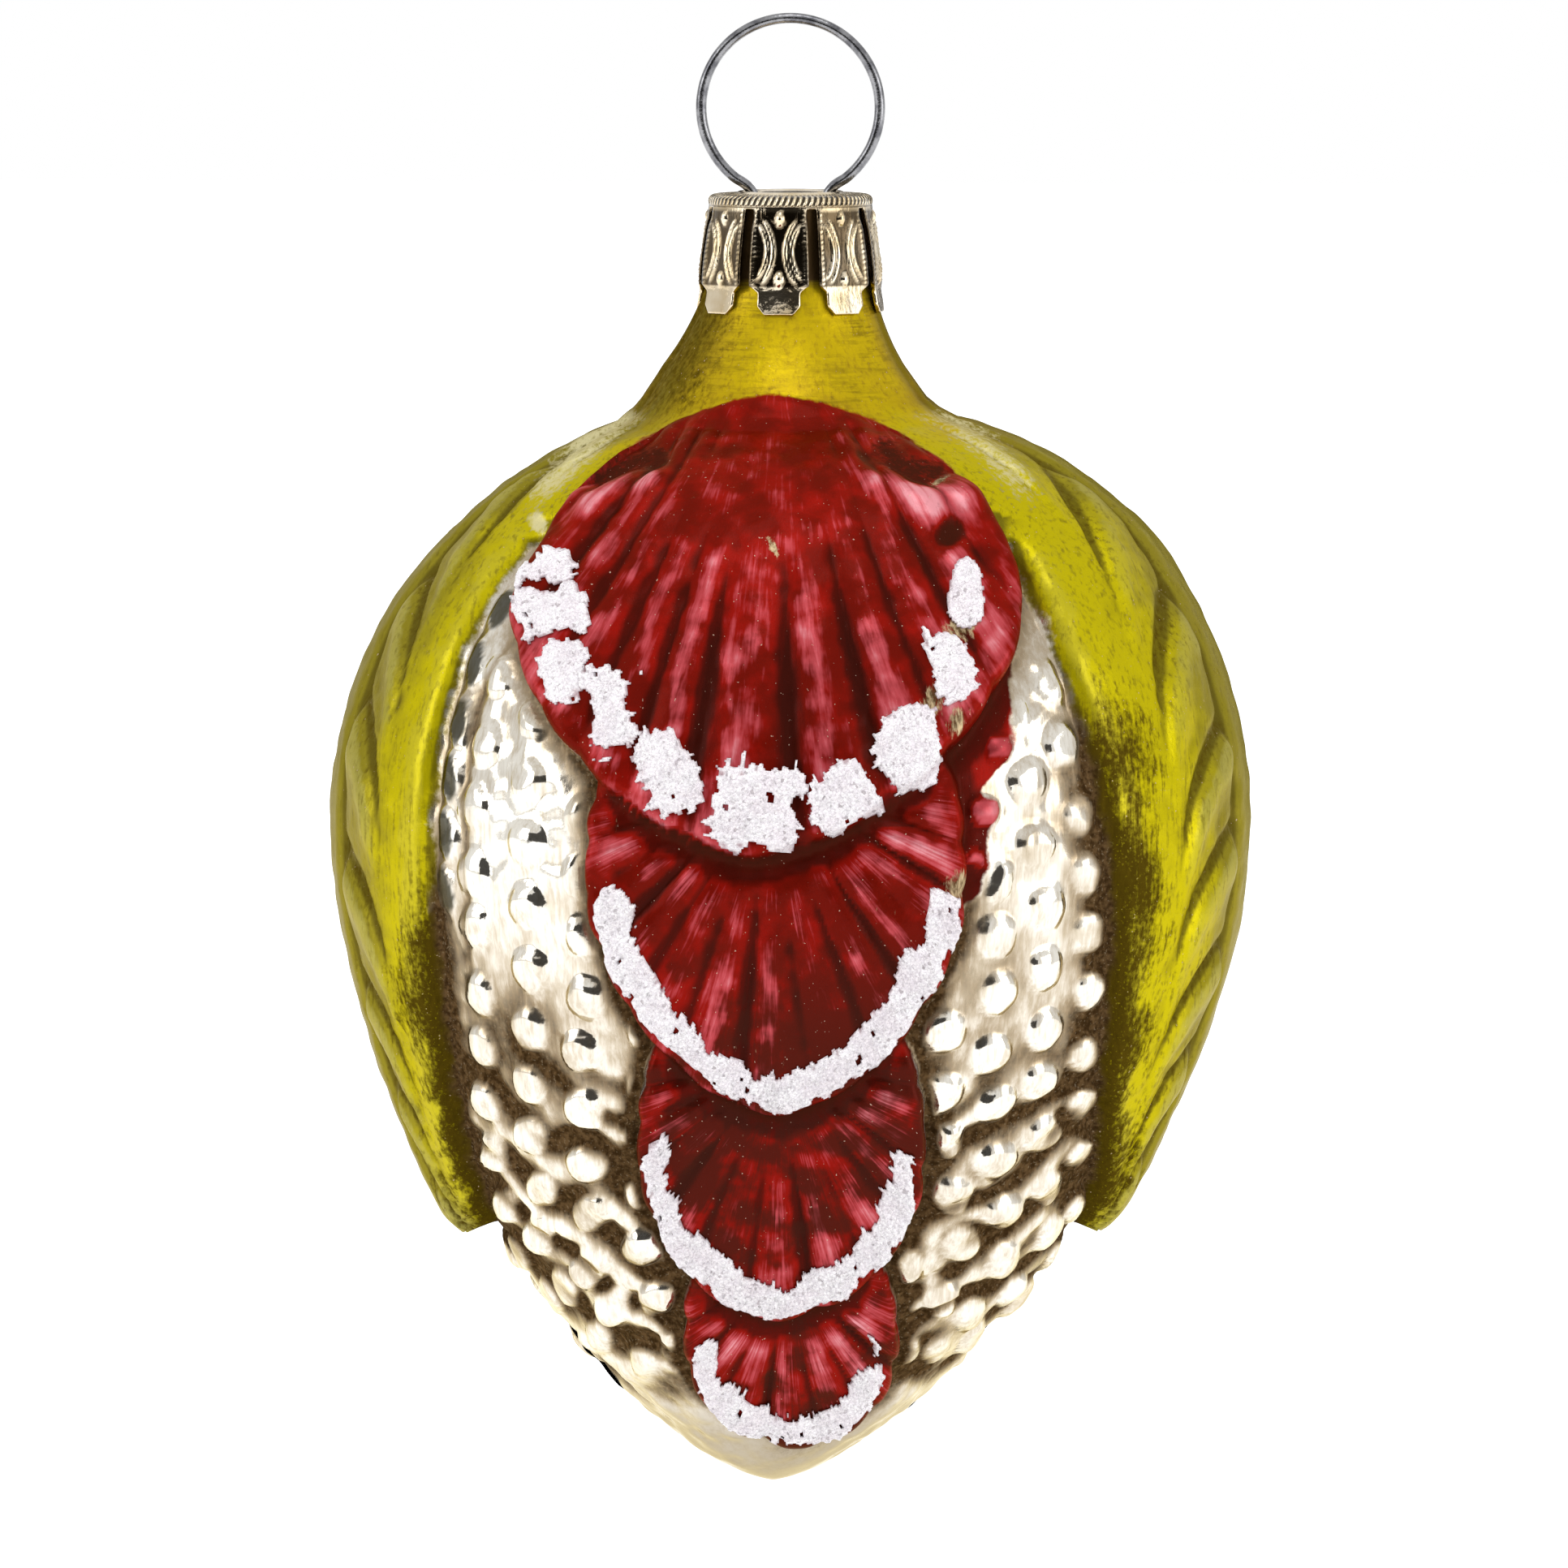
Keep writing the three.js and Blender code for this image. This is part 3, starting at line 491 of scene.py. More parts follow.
        # All of it together
        clear = ramp(-red, 0.0, 0.9) * ramp(-leaf_inside, -0.2, 0.5)
        on_panel = ramp(-red, 0.0, 1.2) * ramp(-leaf_inside, 0.0, 0.8)
        panel = np.maximum(beads * clear * ramp(-z, 31, 36), knobs)
        height = soft_max(soft_max(shell_height + shoulder * ramp(red, -0.4, 1.2), leaves), panel)
        strip = bump(leaf_inside + 2.4 + 0.9 * wobble + 0.4 * ripple, 0.34) * is_left
        strip = strip * ramp(-z, 33, 37) * ramp(-z, 58, 50)
        ridges = np.cos(2 * np.pi * ((-z + 0.6 * np.abs(x + 0.5)) / 3.1 + 0.8 * wobble))
        ridges = ridges * ramp(-z, 56, 64) * ramp(-z, 82, 78) * on_panel
        height = height - 0.3 * overlap - 0.12 * strip + 0.22 * ridges
        height = height + 0.12 * wobble * ramp(-z, 20, 30) + ripple * (0.08 + 0.06 * on_panel) * ramp(-z, 18, 26)
        height = height * ramp(-z, 83.6, 81.5)

        # The brown patina in the hollows, with painted shade and shadow laid in the same brown
        hollow, wide_hollow = (blurred(height, reach) - height for reach in (4, 11))
        lower = ramp(-z, 48, 66) * ramp(-z, 81, 77)
        beside_leaf = ramp(leaf_inside, -4.5, -0.2) * ramp(-z, 36, 44) * is_right
        along_leaf = ramp(leaf_inside, -1.9, -0.15) * ramp(leaf_inside, 1.0, 0.1) * ramp(-z, 42, 54)
        by_rim = np.where(red < 0, bump(np.minimum(rim_near, 5), 0.9), 0) * (0.25 + 0.75 * ramp(-z, 37, 43))
        panel_patina = (0.9 * hollow + 0.7 * wide_hollow) * (0.35 + 1.1 * lower + 1.2 * beside_leaf)
        panel_patina += 0.5 * along_leaf + 0.25 * beside_leaf + 0.5 * by_rim + 0.26 * lower
        panel_patina += 0.6 * wobble * ramp(-z, 46, 60) + 0.42 * strip - 0.2 * ridges
        # painted shade in the ear folds and the dent beside the knob; with the painted shadow under the rims it
        # joins the shell's brown
        dent_shade = [0.7 * bump(to_line(x, z, crease), 0.75) for crease in EAR_CREASES]
        dent_shade.append(0.9 * bump(np.hypot(x - EAR_DENT[0], z - EAR_DENT[1]), 0.6))
        shell_patina_and_shade = 0.35 * hollow + 0.3 * wide_hollow + 0.5 * painted_rim_shadow * ramp(-z, 38, 42) + sum(dent_shade) * facing
        spread = np.where(is_right, 4.6, 3.0) + 4 * wobble + 2 * ripple
        stain = np.clip(1 - leaf_inside / np.maximum(spread, 1), 0, 1.1)
        stain = stain * np.where(is_right, ramp(-z, 34, 42), ramp(-z, 44, 54))
        leaf_patina_and_shade = 0.35 * leaf_crease * ramp(-z, 22, 30) + 0.5 * hollow + 1.1 * stain
        # painted shade on the neck's left side
        leaf_patina_and_shade += 0.55 * ramp(azimuth, -8, -52) * ramp(-z, 25, 20)
        on_leaf, on_shell = ramp(leaf_inside, -0.3, 0.5), ramp(red, -0.35, 0.35)
        patina_and_shade = panel_patina * (1 - on_leaf) + leaf_patina_and_shade * on_leaf
        patina_and_shade = patina_and_shade * (1 - on_shell) + shell_patina_and_shade * on_shell

        # Worn places, a painted highlight along the ridge beside the upper shell's top, and painted light and
        # shade on the relief
        for worn_x, worn_z, wide, tall, tilt in WORN:
            across, down = turned(x - worn_x, z - worn_z, math.radians(tilt))
            wear_and_sheen = np.maximum(wear_and_sheen, 1.4 * facing * np.exp(-(across / wide) ** 2 - (down / tall) ** 2))
        # painted highlight: a pale streak along the ridge beside the upper shell's top, kept with the real wear
        ridge_sheen = bump(red + 1.5, 0.9) * ramp(-z, 21.5, 23) * ramp(-z, 29.5, 26) * ramp(np.abs(x), 3, 6)
        wear_and_sheen = np.maximum(wear_and_sheen, np.where(x < 0, 0.95, 0.75) * ridge_sheen)
        # painted light on the rib flanks that face left, towards the left lamp
        flank = np.gradient(height, axis=1) / np.gradient(np.radians(azimuth) * np.maximum(radius, 2), axis=1)
        lit = np.clip(flank, -0.5, 0.5) * ramp(red, 0.5, 2.0)
        # painted highlight on crests and painted shade in hollows, from the height above its local average
        light_shade_share = np.where(red > 0, 0.1 + 0.9 * ramp(inner, 0.9, 2.2), 1.0)
        painted_light_shade = 0.5 + 2.2 * (height - blurred(height, 5)) * light_shade_share + 0.35 * lit
        self.height = height
        self.masks = {
            "wear_and_sheen": wear_and_sheen,
            "rib": ribs,
            "fan": fan,
            "lens": lens * clear * is_left,
            "margin": margin,
            "red": red,
            "green": leaf_inside,
            "patina_and_shade": np.clip(patina_and_shade, 0, 1.5),
            "painted_light_shade": np.clip(painted_light_shade, np.where(red > 0, 0.25, 0), np.where(knobs > 0, 0.72, 1)),
        }

    @staticmethod
    def ears(x, z):
        """The folds at the top corners of the upper shell, and the knob beside the right one."""
        folds = 0.5 * bump(np.hypot(x - EAR_KNOB[0], z - EAR_KNOB[1]), 1.2)
        folds -= 0.7 * bump(np.hypot(x - EAR_DENT[0], z - EAR_DENT[1]), 0.65)
        for crease in EAR_CREASES:
            folds -= 0.8 * bump(to_line(x, z, crease), 0.95)
            folds += 0.4 * bump(to_line(x, z + 1.7, crease), 0.8)
        return folds

    def sample(self, azimuth, run):
        """The relief's height anywhere, straight between the grid's points."""
        column = np.interp(azimuth, self.azimuths, np.arange(len(self.azimuths)))
        row = np.interp(run, self.runs, np.arange(len(self.runs)))
        i = np.clip(column.astype(int), 0, len(self.azimuths) - 2)
        j = np.clip(row.astype(int), 0, len(self.runs) - 2)
        p, q = column - i, row - j
        upper = self.height[j, i] * (1 - p) + self.height[j, i + 1] * p
        lower = self.height[j + 1, i] * (1 - p) + self.height[j + 1, i + 1] * p
        return upper * (1 - q) + lower * q


def in_scene(name, data):
    made = bpy.data.objects.new(name, data)
    bpy.context.scene.collection.objects.link(made)
    return made


def mesh_piece(name, mesh, body, slot, material, *nodes):
    """Links a finished mesh to the scene as a piece that rides on a body and stands for CAD nodes."""
    piece = in_scene(name, mesh)
    mesh.materials.append(material)
    mesh.shade_smooth()
    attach(piece, body)
    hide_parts(*nodes)
    return piece


def flat_grid(columns, rows):
    """A bmesh grid, with each vertex's column and row. Rows count upwards."""
    net = bmesh.new()
    bmesh.ops.create_grid(net, x_segments=columns, y_segments=rows, size=1)
    place = np.array([vert.co[:2] for vert in net.verts])
    column = np.rint((place[:, 0] + 1) / 2 * columns).astype(int)
    row = np.rint((place[:, 1] + 1) / 2 * rows).astype(int)
    return net, column, row


def move_verts(net, points):
    for vert, point in zip(net.verts, points * MM):
        vert.co = point


def paint_mask(net, name, values):
    layer = net.verts.layers.float.new(name)
    for vert, value in zip(net.verts, values):
        vert[layer] = value


def as_mesh(net, name):
    mesh = bpy.data.meshes.new(name)
    net.to_mesh(mesh)
    net.free()
    return mesh


def glass_half(half, relief, material):
    rows = len(relief.runs) - 1
    net, column, row = flat_grid(len(relief.azimuths) - 1, rows)
    row = rows - row
    points = on_glass(relief.azimuths[column], relief.runs[row], relief.height[row, column])
    move_verts(net, placed(points, half))
    for name, mask in relief.masks.items():
        paint_mask(net, name, mask[row, column])
    tip = [vert for vert in net.verts if vert.co.z < -(TIP_DEPTH - 0.01) * MM]
    bmesh.ops.remove_doubles(net, verts=tip, dist=1e-6)
    mesh = as_mesh(net, "glass_" + half)
    return mesh_piece("glass_" + half, mesh, "glass", "glass", material, "glass_body")


def glass_inside(material):
    """The lip of the neck and the silvered inner face."""
    net = bmesh.new()
    lip_radius, lip_height = NECK_LIP
    top = lip_height + 0.12
    profile = [NECK_LIP, (lip_radius - 0.2, top), (lip_radius - WALL + 0.2, top), (lip_radius - WALL, lip_height)]
    for run in np.linspace(0, glass_outline.length, 70)[1:-1]:
        radial, upward = glass_outline.normal(run)
        profile.append((glass_outline.radius(run) - radial * WALL, glass_outline.height(run) - upward * WALL))
    profile.append((0.0, -TIP_DEPTH + WALL))
    verts = [net.verts.new((radius * MM, 0, height * MM)) for radius, height in profile]
    edges = [net.edges.new(pair) for pair in zip(verts, verts[1:])]
    bmesh.ops.spin(net, geom=verts + edges, cent=(0, 0, 0), axis=(0, 0, 1), angle=2 * math.pi,
                   steps=96, use_merge=True)
    bmesh.ops.remove_doubles(net, verts=net.verts, dist=1e-6)
    for vert in net.verts:
        height = vert.co.z / MM
        vert.co.x += float(np.interp(-height, LEAN_DEPTHS, LEAN)) * MM
        vert.co.y *= thinness(height)
    net.normal_update()
    bmesh.ops.recalc_face_normals(net, faces=net.faces)
    first = max(net.faces, key=lambda face: face.calc_center_median().z)
    if first.normal.z < 0:
        bmesh.ops.reverse_faces(net, faces=net.faces)
    return mesh_piece("glass_inside", as_mesh(net, "glass_inside"), "glass", "glass", material, "glass_body")


class Value:
    """A socket in a material's nodes that takes part in arithmetic."""

    def __init__(self, finish, socket):
        self.finish, self.socket = finish, socket

    def math(self, operation, *others):
        return self.finish.node("Math", {"operation": operation}, dict(enumerate((self, *others))))

    def __add__(self, other):
        return self.math("ADD", other)

    def __sub__(self, other):
        return self.math("SUBTRACT", other)

    def __rsub__(self, other):
        return self.finish.node("Math", {"operation": "SUBTRACT"}, {0: other, 1: self})

    def __mul__(self, other):
        return self.math("MULTIPLY", other)

    def __truediv__(self, other):
        return self.math("DIVIDE", other)

    __radd__ = __add__
    __rmul__ = __mul__


def cleared_tree(owner):
    owner.use_nodes = True
    owner.node_tree.nodes.clear()
    return owner.node_tree


def feed(target, value):
    """Joins an input to a socket, or sets it to a value."""
    if isinstance(value, Value):
        value = value.socket
    if isinstance(value, bpy.types.NodeSocket):
        target.id_data.links.new(value, target)
    else:
        target.default_value = value


def new_node(tree, kind, settings=None, inputs=None):
    made = tree.nodes.new("ShaderNode" + kind)
    for key, value in (settings or {}).items():
        setattr(made, key, value)
    for key, value in (inputs or {}).items():
        feed(made.inputs[key], value)
    return made


class Finish:
    """One material, with its nodes made by node() and joined by the inputs given to it."""

    def __init__(self, name, **constants):
        self.material = bpy.data.materials.new(name)
        self.tree = cleared_tree(self.material)
        self.shader = new_node(self.tree, "BsdfPrincipled")
        new_node(self.tree, "OutputMaterial", None, {0: self.shader.outputs[0]})
        self.set(**constants)
        self.object = self.node("TexCoord", output="Object")

    def node(self, kind, settings=None, inputs=None, output=0):
        return Value(self, new_node(self.tree, kind, settings, inputs).outputs[output])

    def set(self, **inputs):
        for key, value in inputs.items():
            feed(self.shader.inputs[key.replace("_", " ")], value)

    def mask(self, name):
        return self.node("Attribute", {"attribute_name": name}, output="Fac")

    def step(self, value, low, high):
        """0 where the value is low, 1 where it is high and smooth between. low may be the larger."""
        return self.node("MapRange", {"interpolation_type": "SMOOTHSTEP"},
                         {"Value": value, "From Min": low, "From Max": high})

    def mix(self, factor, first, second):
        colours = [c if isinstance(c, Value) else (*c, 1) for c in (first, second)]
        return self.node("Mix", {"data_type": "RGBA"}, {0: factor, 6: colours[0], 7: colours[1]}, 2)

    def coats(self, colour, *coats):
        """A colour with others laid over it, each given after its share."""
        for share, coat in coats:
            colour = self.mix(share, colour, coat)
        return colour

    def blend(self, factor, first, second):
        return self.node("Mix", {"data_type": "FLOAT"}, {0: factor, 2: first, 3: second})

    def noise(self, scale, detail=3.0, roughness=0.5, stretch=(1, 1, 1), distortion=0.0):
        """Noise on the object's own coordinates, with scale in features per millimetre."""
        place = self.node("Mapping", None,
                          {"Vector": self.object, "Scale": tuple(scale / MM * s for s in stretch)})
        return self.node("TexNoise", None,
                         {"Vector": place, "Scale": 1.0, "Detail": detail, "Roughness": roughness,
                          "Distortion": distortion})

    def cells(self, scale, output="Distance"):
        place = self.node("Mapping", None, {"Vector": self.object, "Scale": (scale / MM,) * 3})
        return self.node("TexVoronoi", None, {"Vector": place, "Scale": 1.0}, output)

    def streaks(self, across, along):
        """Noise in streaks that follow the shells' ribs, per degree across and per millimetre along."""
        place = self.node("CombineXYZ", None, {0: self.mask("fan") * across, 1: self.axis("Z") * along})
        return self.node("TexNoise", None, {"Vector": place, "Scale": 1.0, "Detail": 3.0, "Roughness": 0.6})

    def axis(self, name):
        """One of the object's own coordinates, in millimetres."""
        return self.node("SeparateXYZ", None, {0: self.object}, name) / MM

    def bump(self, height, distance):
        self.set(Normal=self.node("Bump", None,
                                  {"Height": height, "Distance": distance * MM, "Strength": 1.0}))


def painted_glass():
    """Silvered glass with red and green lacquer, brown patina rubbed into its hollows, and painted shade and
    highlights.
    """
    finish = Finish("silvered_lacquered_glass", Coat_Roughness=0.16, Coat_IOR=1.45,
                    Specular_IOR_Level=0.0, Specular_Tint=(0.8, 0.72, 0.5, 1))
    step, mask = finish.step, finish.mask
    broad = finish.noise(0.12, 4, 0.55)
    soft = finish.noise(0.5, 3, 0.5)
    fine = finish.noise(2.6, 4, 0.6)
    grain = finish.noise(1.0, 4, 0.65, stretch=(3.2, 3.2, 0.35))
    strokes = finish.noise(1.0, 3, 0.6, stretch=(0.4, 0.4, 4.2))
    specks = finish.noise(6.0, 1, 0.5)
    streaks = finish.streaks(0.9, 0.35)
    height = finish.axis("Z")
    painted_light_shade, margin, rib, wear_and_sheen = mask("painted_light_shade"), mask("margin"), mask("rib"), mask("wear_and_sheen")

    edge = (soft - 0.5) * 1.1 + (fine - 0.5) * 0.5
    red = step(mask("red") + edge * 0.6, 0.0, 0.25)
    green = step(mask("green") + edge * 0.9, -0.1, 0.3)
    lacquer = red.math("MAXIMUM", green)
    patina_shade_level = mask("patina_and_shade") + (broad - 0.5) * 0.55 + (soft - 0.5) * 0.4 + (grain - 0.5) * 0.5
    patina_shade_level = patina_shade_level + green * ((fine - 0.5) * 0.9 + (grain - 0.5) * 0.5)
    patina_and_shade = step(patina_shade_level, 0.15, 0.85)
    tinge = step(patina_shade_level, -0.2, 0.42)

    silver = finish.coats(
        (0.8, 0.77, 0.7),
        (tinge, (0.36, 0.28, 0.18)),
        (step(grain + (soft - 0.5) * 0.6, 0.46, 0.7) * 0.45, (0.5, 0.43, 0.32)),
        # painted reflection: dark shapes in the lenses along the left leaf
        (mask("lens") * 0.9, (0.03, 0.03, 0.02)),
        (step(height + (soft - 0.5) * 3, -76, -81) * 0.85, (0.33, 0.28, 0.21)))

    # the neck: painted shade toward the seams, most on the left
    neck = finish.coats(
        (0.1, 0.06, 0.004),
        (step(margin, 0.3, 0.75), (0.5, 0.32, 0.006)),
        (step(grain * 0.5 + soft * 0.5, 0.45, 0.62) * 0.5, (0.36, 0.2, 0.012)))
    # painted sheen on the leaves' inner margins, brighter yellow there
    margin_sheen = step(margin + (soft - 0.5) * 0.4 + (broad - 0.5) * 0.5, 0.5, 0.85)
    brushed = step(strokes + (fine - 0.5) * 0.4, 0.42, 0.7) * step(height, -24, -20) * step(broad, 0.62, 0.4)
    lime = finish.coats(
        (0.23, 0.19, 0.014),
        (margin_sheen, (0.46, 0.39, 0.003)),
        # painted shade: darker olive toward the seam
        (step(margin, 0.3, 0.1) * 0.5, (0.15, 0.125, 0.02)),
        # painted highlight on the leaves' crests
        (step(painted_light_shade + (grain - 0.5) * 0.8, 0.66, 1.0) * (0.4 - 0.3 * margin_sheen), (0.5, 0.46, 0.14)),
        # painted shade in the leaves' hollows
        (step(painted_light_shade, 0.46, 0.1) * 0.75, (0.07, 0.05, 0.006)),
        (step(grain + (fine - 0.5) * 0.5, 0.48, 0.72) * 0.55, (0.13, 0.1, 0.008)),
        (step(height + (soft - 0.5) * 3, -25, -21) * 0.6, neck),
        (brushed * 0.7, (0.17, 0.115, 0.006)),
        (step(wear_and_sheen + (grain - 0.5) * 1.6 + (fine - 0.5) * 0.6, 0.4, 1.0) * 0.8, (0.66, 0.6, 0.34)))

    # painted highlight: pink streaks along the ribs
    painted_highlight = painted_light_shade + (streaks - 0.5) * 0.75 + (soft - 0.5) * 0.7 + (broad - 0.5) * 0.9
    smoky = step(soft * 0.6 + broad * 0.6 + streaks * 0.25, 0.78, 0.64) * step(height, -48, -58)
    rubbed = finish.mix(step(grain, 0.4, 0.65), (0.09, 0.05, 0.02), (0.5, 0.38, 0.22))
    ruby = finish.coats(
        (0.13, 0.005, 0.002),
        (step(soft + (broad - 0.5) * 0.8, 0.35, 0.7), (0.25, 0.006, 0.003)),
        # painted highlights on the ribs, pink and near white
        (step(painted_highlight, 0.58, 0.9) * 0.85, (0.5, 0.075, 0.09)),
        (step(painted_highlight, 0.82, 1.15) * step(rib, 0.5, 0.8), (0.68, 0.27, 0.3)),
        # painted shade in the grooves between ribs and in the hollows
        (step(rib + (streaks - 0.5) * 0.7, 0.68, 0.12) * 0.9, (0.045, 0.005, 0.003)),
        (step(painted_light_shade, 0.46, 0.15), (0.03, 0.004, 0.002)),
        (smoky * 0.65, (0.04, 0.009, 0.005)),
        (step(wear_and_sheen + (grain - 0.5) * 2.4 + (fine - 0.5) * 0.8, 0.5, 1.1), rubbed))

    brown = finish.coats(
        (0.035, 0.018, 0.006),
        (step(fine, 0.35, 0.7), (0.12, 0.07, 0.03)),
        (green, finish.mix(grain, (0.03, 0.018, 0.002), (0.1, 0.065, 0.004))),
        (red, (0.05, 0.01, 0.005)))
    colour = finish.coats(
        silver,
        (green, lime),
        (red, ruby),
        # brown patina, with painted shade and shadow in the same brown
        (patina_and_shade * (1 - 0.25 * step(specks, 0.62, 0.72)), brown),
        (step(specks + (fine - 0.5) * 0.3, 0.76, 0.8) * lacquer * 0.7, (0.55, 0.4, 0.3)),
        (step(height + (strokes - 0.5) * 0.8, -15.1, -14.4), (0.07, 0.04, 0.015)))  # dark brown above this depth, under the cap

    rough = finish.blend(lacquer, 0.06 + 0.16 * tinge, 0.28 + 0.16 * soft)
    metal = finish.blend(lacquer, 0.97, 0.66 - 0.28 * red)
    finish.set(Base_Color=colour, Roughness=finish.blend(patina_and_shade, rough, 0.6), Metallic=metal * (1 - 0.8 * patina_and_shade),
               Coat_Weight=lacquer * 0.04 * (1 - patina_and_shade))
    uneven = (fine - 0.5) * 0.5 + (grain - 0.5) * 0.3 + (soft - 0.5) * 0.6
    finish.bump(uneven * (0.35 + 0.65 * lacquer), 0.05)
    return finish.material


def inner_silvering():
    finish = Finish("inner_silvering")
    dull = finish.noise(0.3, 4, 0.6)
    finish.set(Base_Color=finish.mix(dull, (0.55, 0.5, 0.42), (0.3, 0.25, 0.17)), Metallic=0.8,
               Roughness=0.25 + 0.3 * dull)
    finish.bump(finish.noise(1.5, 3), 0.05)
    return finish.material


def crushed_glass_paint():
    """White paint, faintly lilac, thick with clear glass grains."""
    finish = Finish("crushed_glass_paint", Coat_Roughness=0.08)
    step = finish.step
    facet = finish.node("SeparateColor", None, {0: finish.cells(5.5, "Color")}, 0)
    edges = finish.cells(5.5)
    strands = (finish.noise(2.8, 2, 0.6, distortion=2.0) - 0.5).math("ABSOLUTE")
    white = finish.coats(
        (0.98, 0.96, 0.97),
        (step(finish.noise(0.7, 3), 0.35, 0.7), (0.9, 0.84, 0.87)),
        (step(edges, 0.3, 0.65) * 0.35, (0.62, 0.56, 0.64)),
        (step(facet, 0.95, 0.98) * 0.6, (0.25, 0.2, 0.22)),
        (step(strands, 0.035, 0.0) * 0.65, (0.34, 0.27, 0.29)),
        # painted shade along the dab's outline
        (finish.mask("edge") * 0.75, (0.3, 0.14, 0.16)))
    finish.set(Base_Color=white, Roughness=0.25 + 0.5 * facet, Coat_Weight=step(facet, 0.3, 0.8) * 0.8)
    finish.bump(facet * 0.8 + (1 - edges) * 0.6, 0.09)
    return finish.material


def plated_cap():
    """Thin stamped sheet with a pale champagne plating, with painted shade in its stamp and between the rim's
    ticks.
    """
    finish = Finish("champagne_plating", Metallic=1.0)
    broad = finish.noise(0.5, 3)
    fine = finish.noise(3.0, 4, 0.6)
    streak = finish.noise(1.0, 3, 0.6, stretch=(5, 5, 0.6))
    height = finish.axis("Z")
    turn = finish.axis("X").math("ARCTAN2", finish.axis("Y"))
    ticks = (turn * RIM_TICKS + height * 7).math("SINE")
    rim = finish.step(height, -10.32, -10.22) * finish.step(height, -9.66, -9.74)
    colour = finish.coats(
        (0.8, 0.7, 0.53),
        (finish.step(broad, 0.3, 0.7), (0.6, 0.47, 0.28)),
        # painted shade in the stamp and between the rim's ticks
        (finish.mask("painted_recess_shade") * 0.92, (0.04, 0.024, 0.01)),
        (finish.step(ticks, 0.25, -0.25) * rim * 0.95, (0.015, 0.01, 0.005)))
    finish.set(Base_Color=colour, Roughness=0.05 + 0.08 * fine)
    finish.bump((broad - 0.5) * 1.6 + (fine - 0.5) * 0.15 + (streak - 0.5) * 0.3 + ticks * rim * 0.6, 0.1)
    return finish.material


def steel_wire():
    finish = Finish("drawn_steel_wire", Metallic=1.0)
    along = finish.step(finish.noise(1.2, 3, 0.6), 0.35, 0.7)
    fine = finish.noise(7.0, 2)
    finish.set(Base_Color=finish.mix(along, (0.26, 0.26, 0.27), (0.1, 0.1, 0.11)), Roughness=0.14 + 0.14 * fine)
    finish.bump(fine, 0.01)
    return finish.material


def scatter(value):
    """A repeatable draw from 0 to 1 for each whole number."""
    return np.abs(np.sin(value * 12.9898 + 4.1414) * 43758.5453) % 1


def trim_piece(name, node, half, relief, place, length, width, taper, seed, material):
    """A layer of paint and glass grains that follows the ribs.

    place(along, up) gives its points as (x, depth). taper is how far its ends run out thin.
    """
    cell, spill = 0.11, 0.9  # the grid's cell, and how far the grid goes past the trim's edges
    skirt_drop = 0.32
    columns, rows = (int((size + 2 * spill) / cell) for size in (length, width))
    net, column, row = flat_grid(columns, rows)
    along = column / columns * (length + 2 * spill) - spill
    up = row / rows * (width + 2 * spill) - spill
    x, depth = place(along, up)
    run = glass_outline.run_at(-depth)
    azimuth = np.degrees(np.arcsin(np.clip(x / glass_outline.radius(run), -1, 1)))
    ground = relief.sample(azimuth, run)

    grid = np.stack([along, up, np.full_like(up, seed * 7.0)], -1)
    shape = waver(grid, 0.5, seed + 1)
    bristles = waver(grid * np.array([3.4, 0.5, 1]), 1.0, seed)
    strokes = waver(grid * np.array([0.45, 2.6, 1]), 1.0, seed + 3)
    fringe = waver(grid, 2.6, seed + 2)
    to_end = np.minimum(along, length - along)
    round_off = 0.24 * width
    past_end, past_side = round_off - to_end, round_off - np.minimum(up, width - up)
    corner = np.hypot(np.maximum(past_end, 0), np.maximum(past_side, 0))
    inside = round_off - np.where(corner > 0, corner, np.maximum(past_end, past_side))
    near_top = ramp(up, 0.55 * width, 0.9 * width)
    spikes = 2.4 * np.maximum(bristles - 0.08, 0) * near_top + 1.2 * np.maximum(strokes - 0.05, 0) * (1 - near_top)
    narrow = ramp(length, 2.3, 1.6)  # the narrowest dabs have a plainer outline
    rough = (1 - 0.7 * narrow) * (0.25 + 0.35 * ramp(length, 8, 4))
    solid = inside + 0.1 + (0.7 - 0.4 * narrow) * shape + rough * spikes + (0.35 - 0.2 * narrow) * fringe
    solid = solid - 0.3 * narrow * length * (2 * up / width - 1) ** 2
    if taper:
        solid = solid - 0.34 * width * ramp(to_end, taper, 0)
    solid = np.where(waver(grid, 2.3, seed + 4) > 0.7, -1.0, solid)
    thick = 0.1 + 0.2 * ramp(solid, 0.0, 0.5)
    number = column * 7919 + row * 104729 + seed * 31
    thick = thick + (0.16 * scatter(number) - 0.04) * ramp(solid, 0.1, 0.5)
    move_verts(net, placed(on_glass(azimuth, run, ground + thick), half))
    # painted shade: a dark outline along the dab's edge
    paint_mask(net, "edge", ramp(solid, 0.16, 0.02))
    bare = [vert for vert, lost in zip(net.verts, solid < 0) if lost]
    bmesh.ops.delete(net, geom=bare, context="VERTS")
    rim_edges = [edge for edge in net.edges if edge.is_boundary]
    skirt = bmesh.ops.extrude_edge_only(net, edges=rim_edges)
    for element in skirt["geom"]:  # down to the glass
        if isinstance(element, bmesh.types.BMVert):
            outward = Vector((element.co.x, element.co.y, 0)).normalized()
            element.co -= outward * skirt_drop * MM
    net.normal_update()
    return mesh_piece(name, as_mesh(net, name), "glass", "glitter", material, node)


def dab_place(x, z, long, wide, tilt):
    """Points of a brushed dab around its middle, with its long side turned up to the right by tilt."""
    def place(along, up):
        right, above = turned(along - long / 2, up - wide / 2, math.radians(tilt))
        return x + right, -(z + above)
    return place


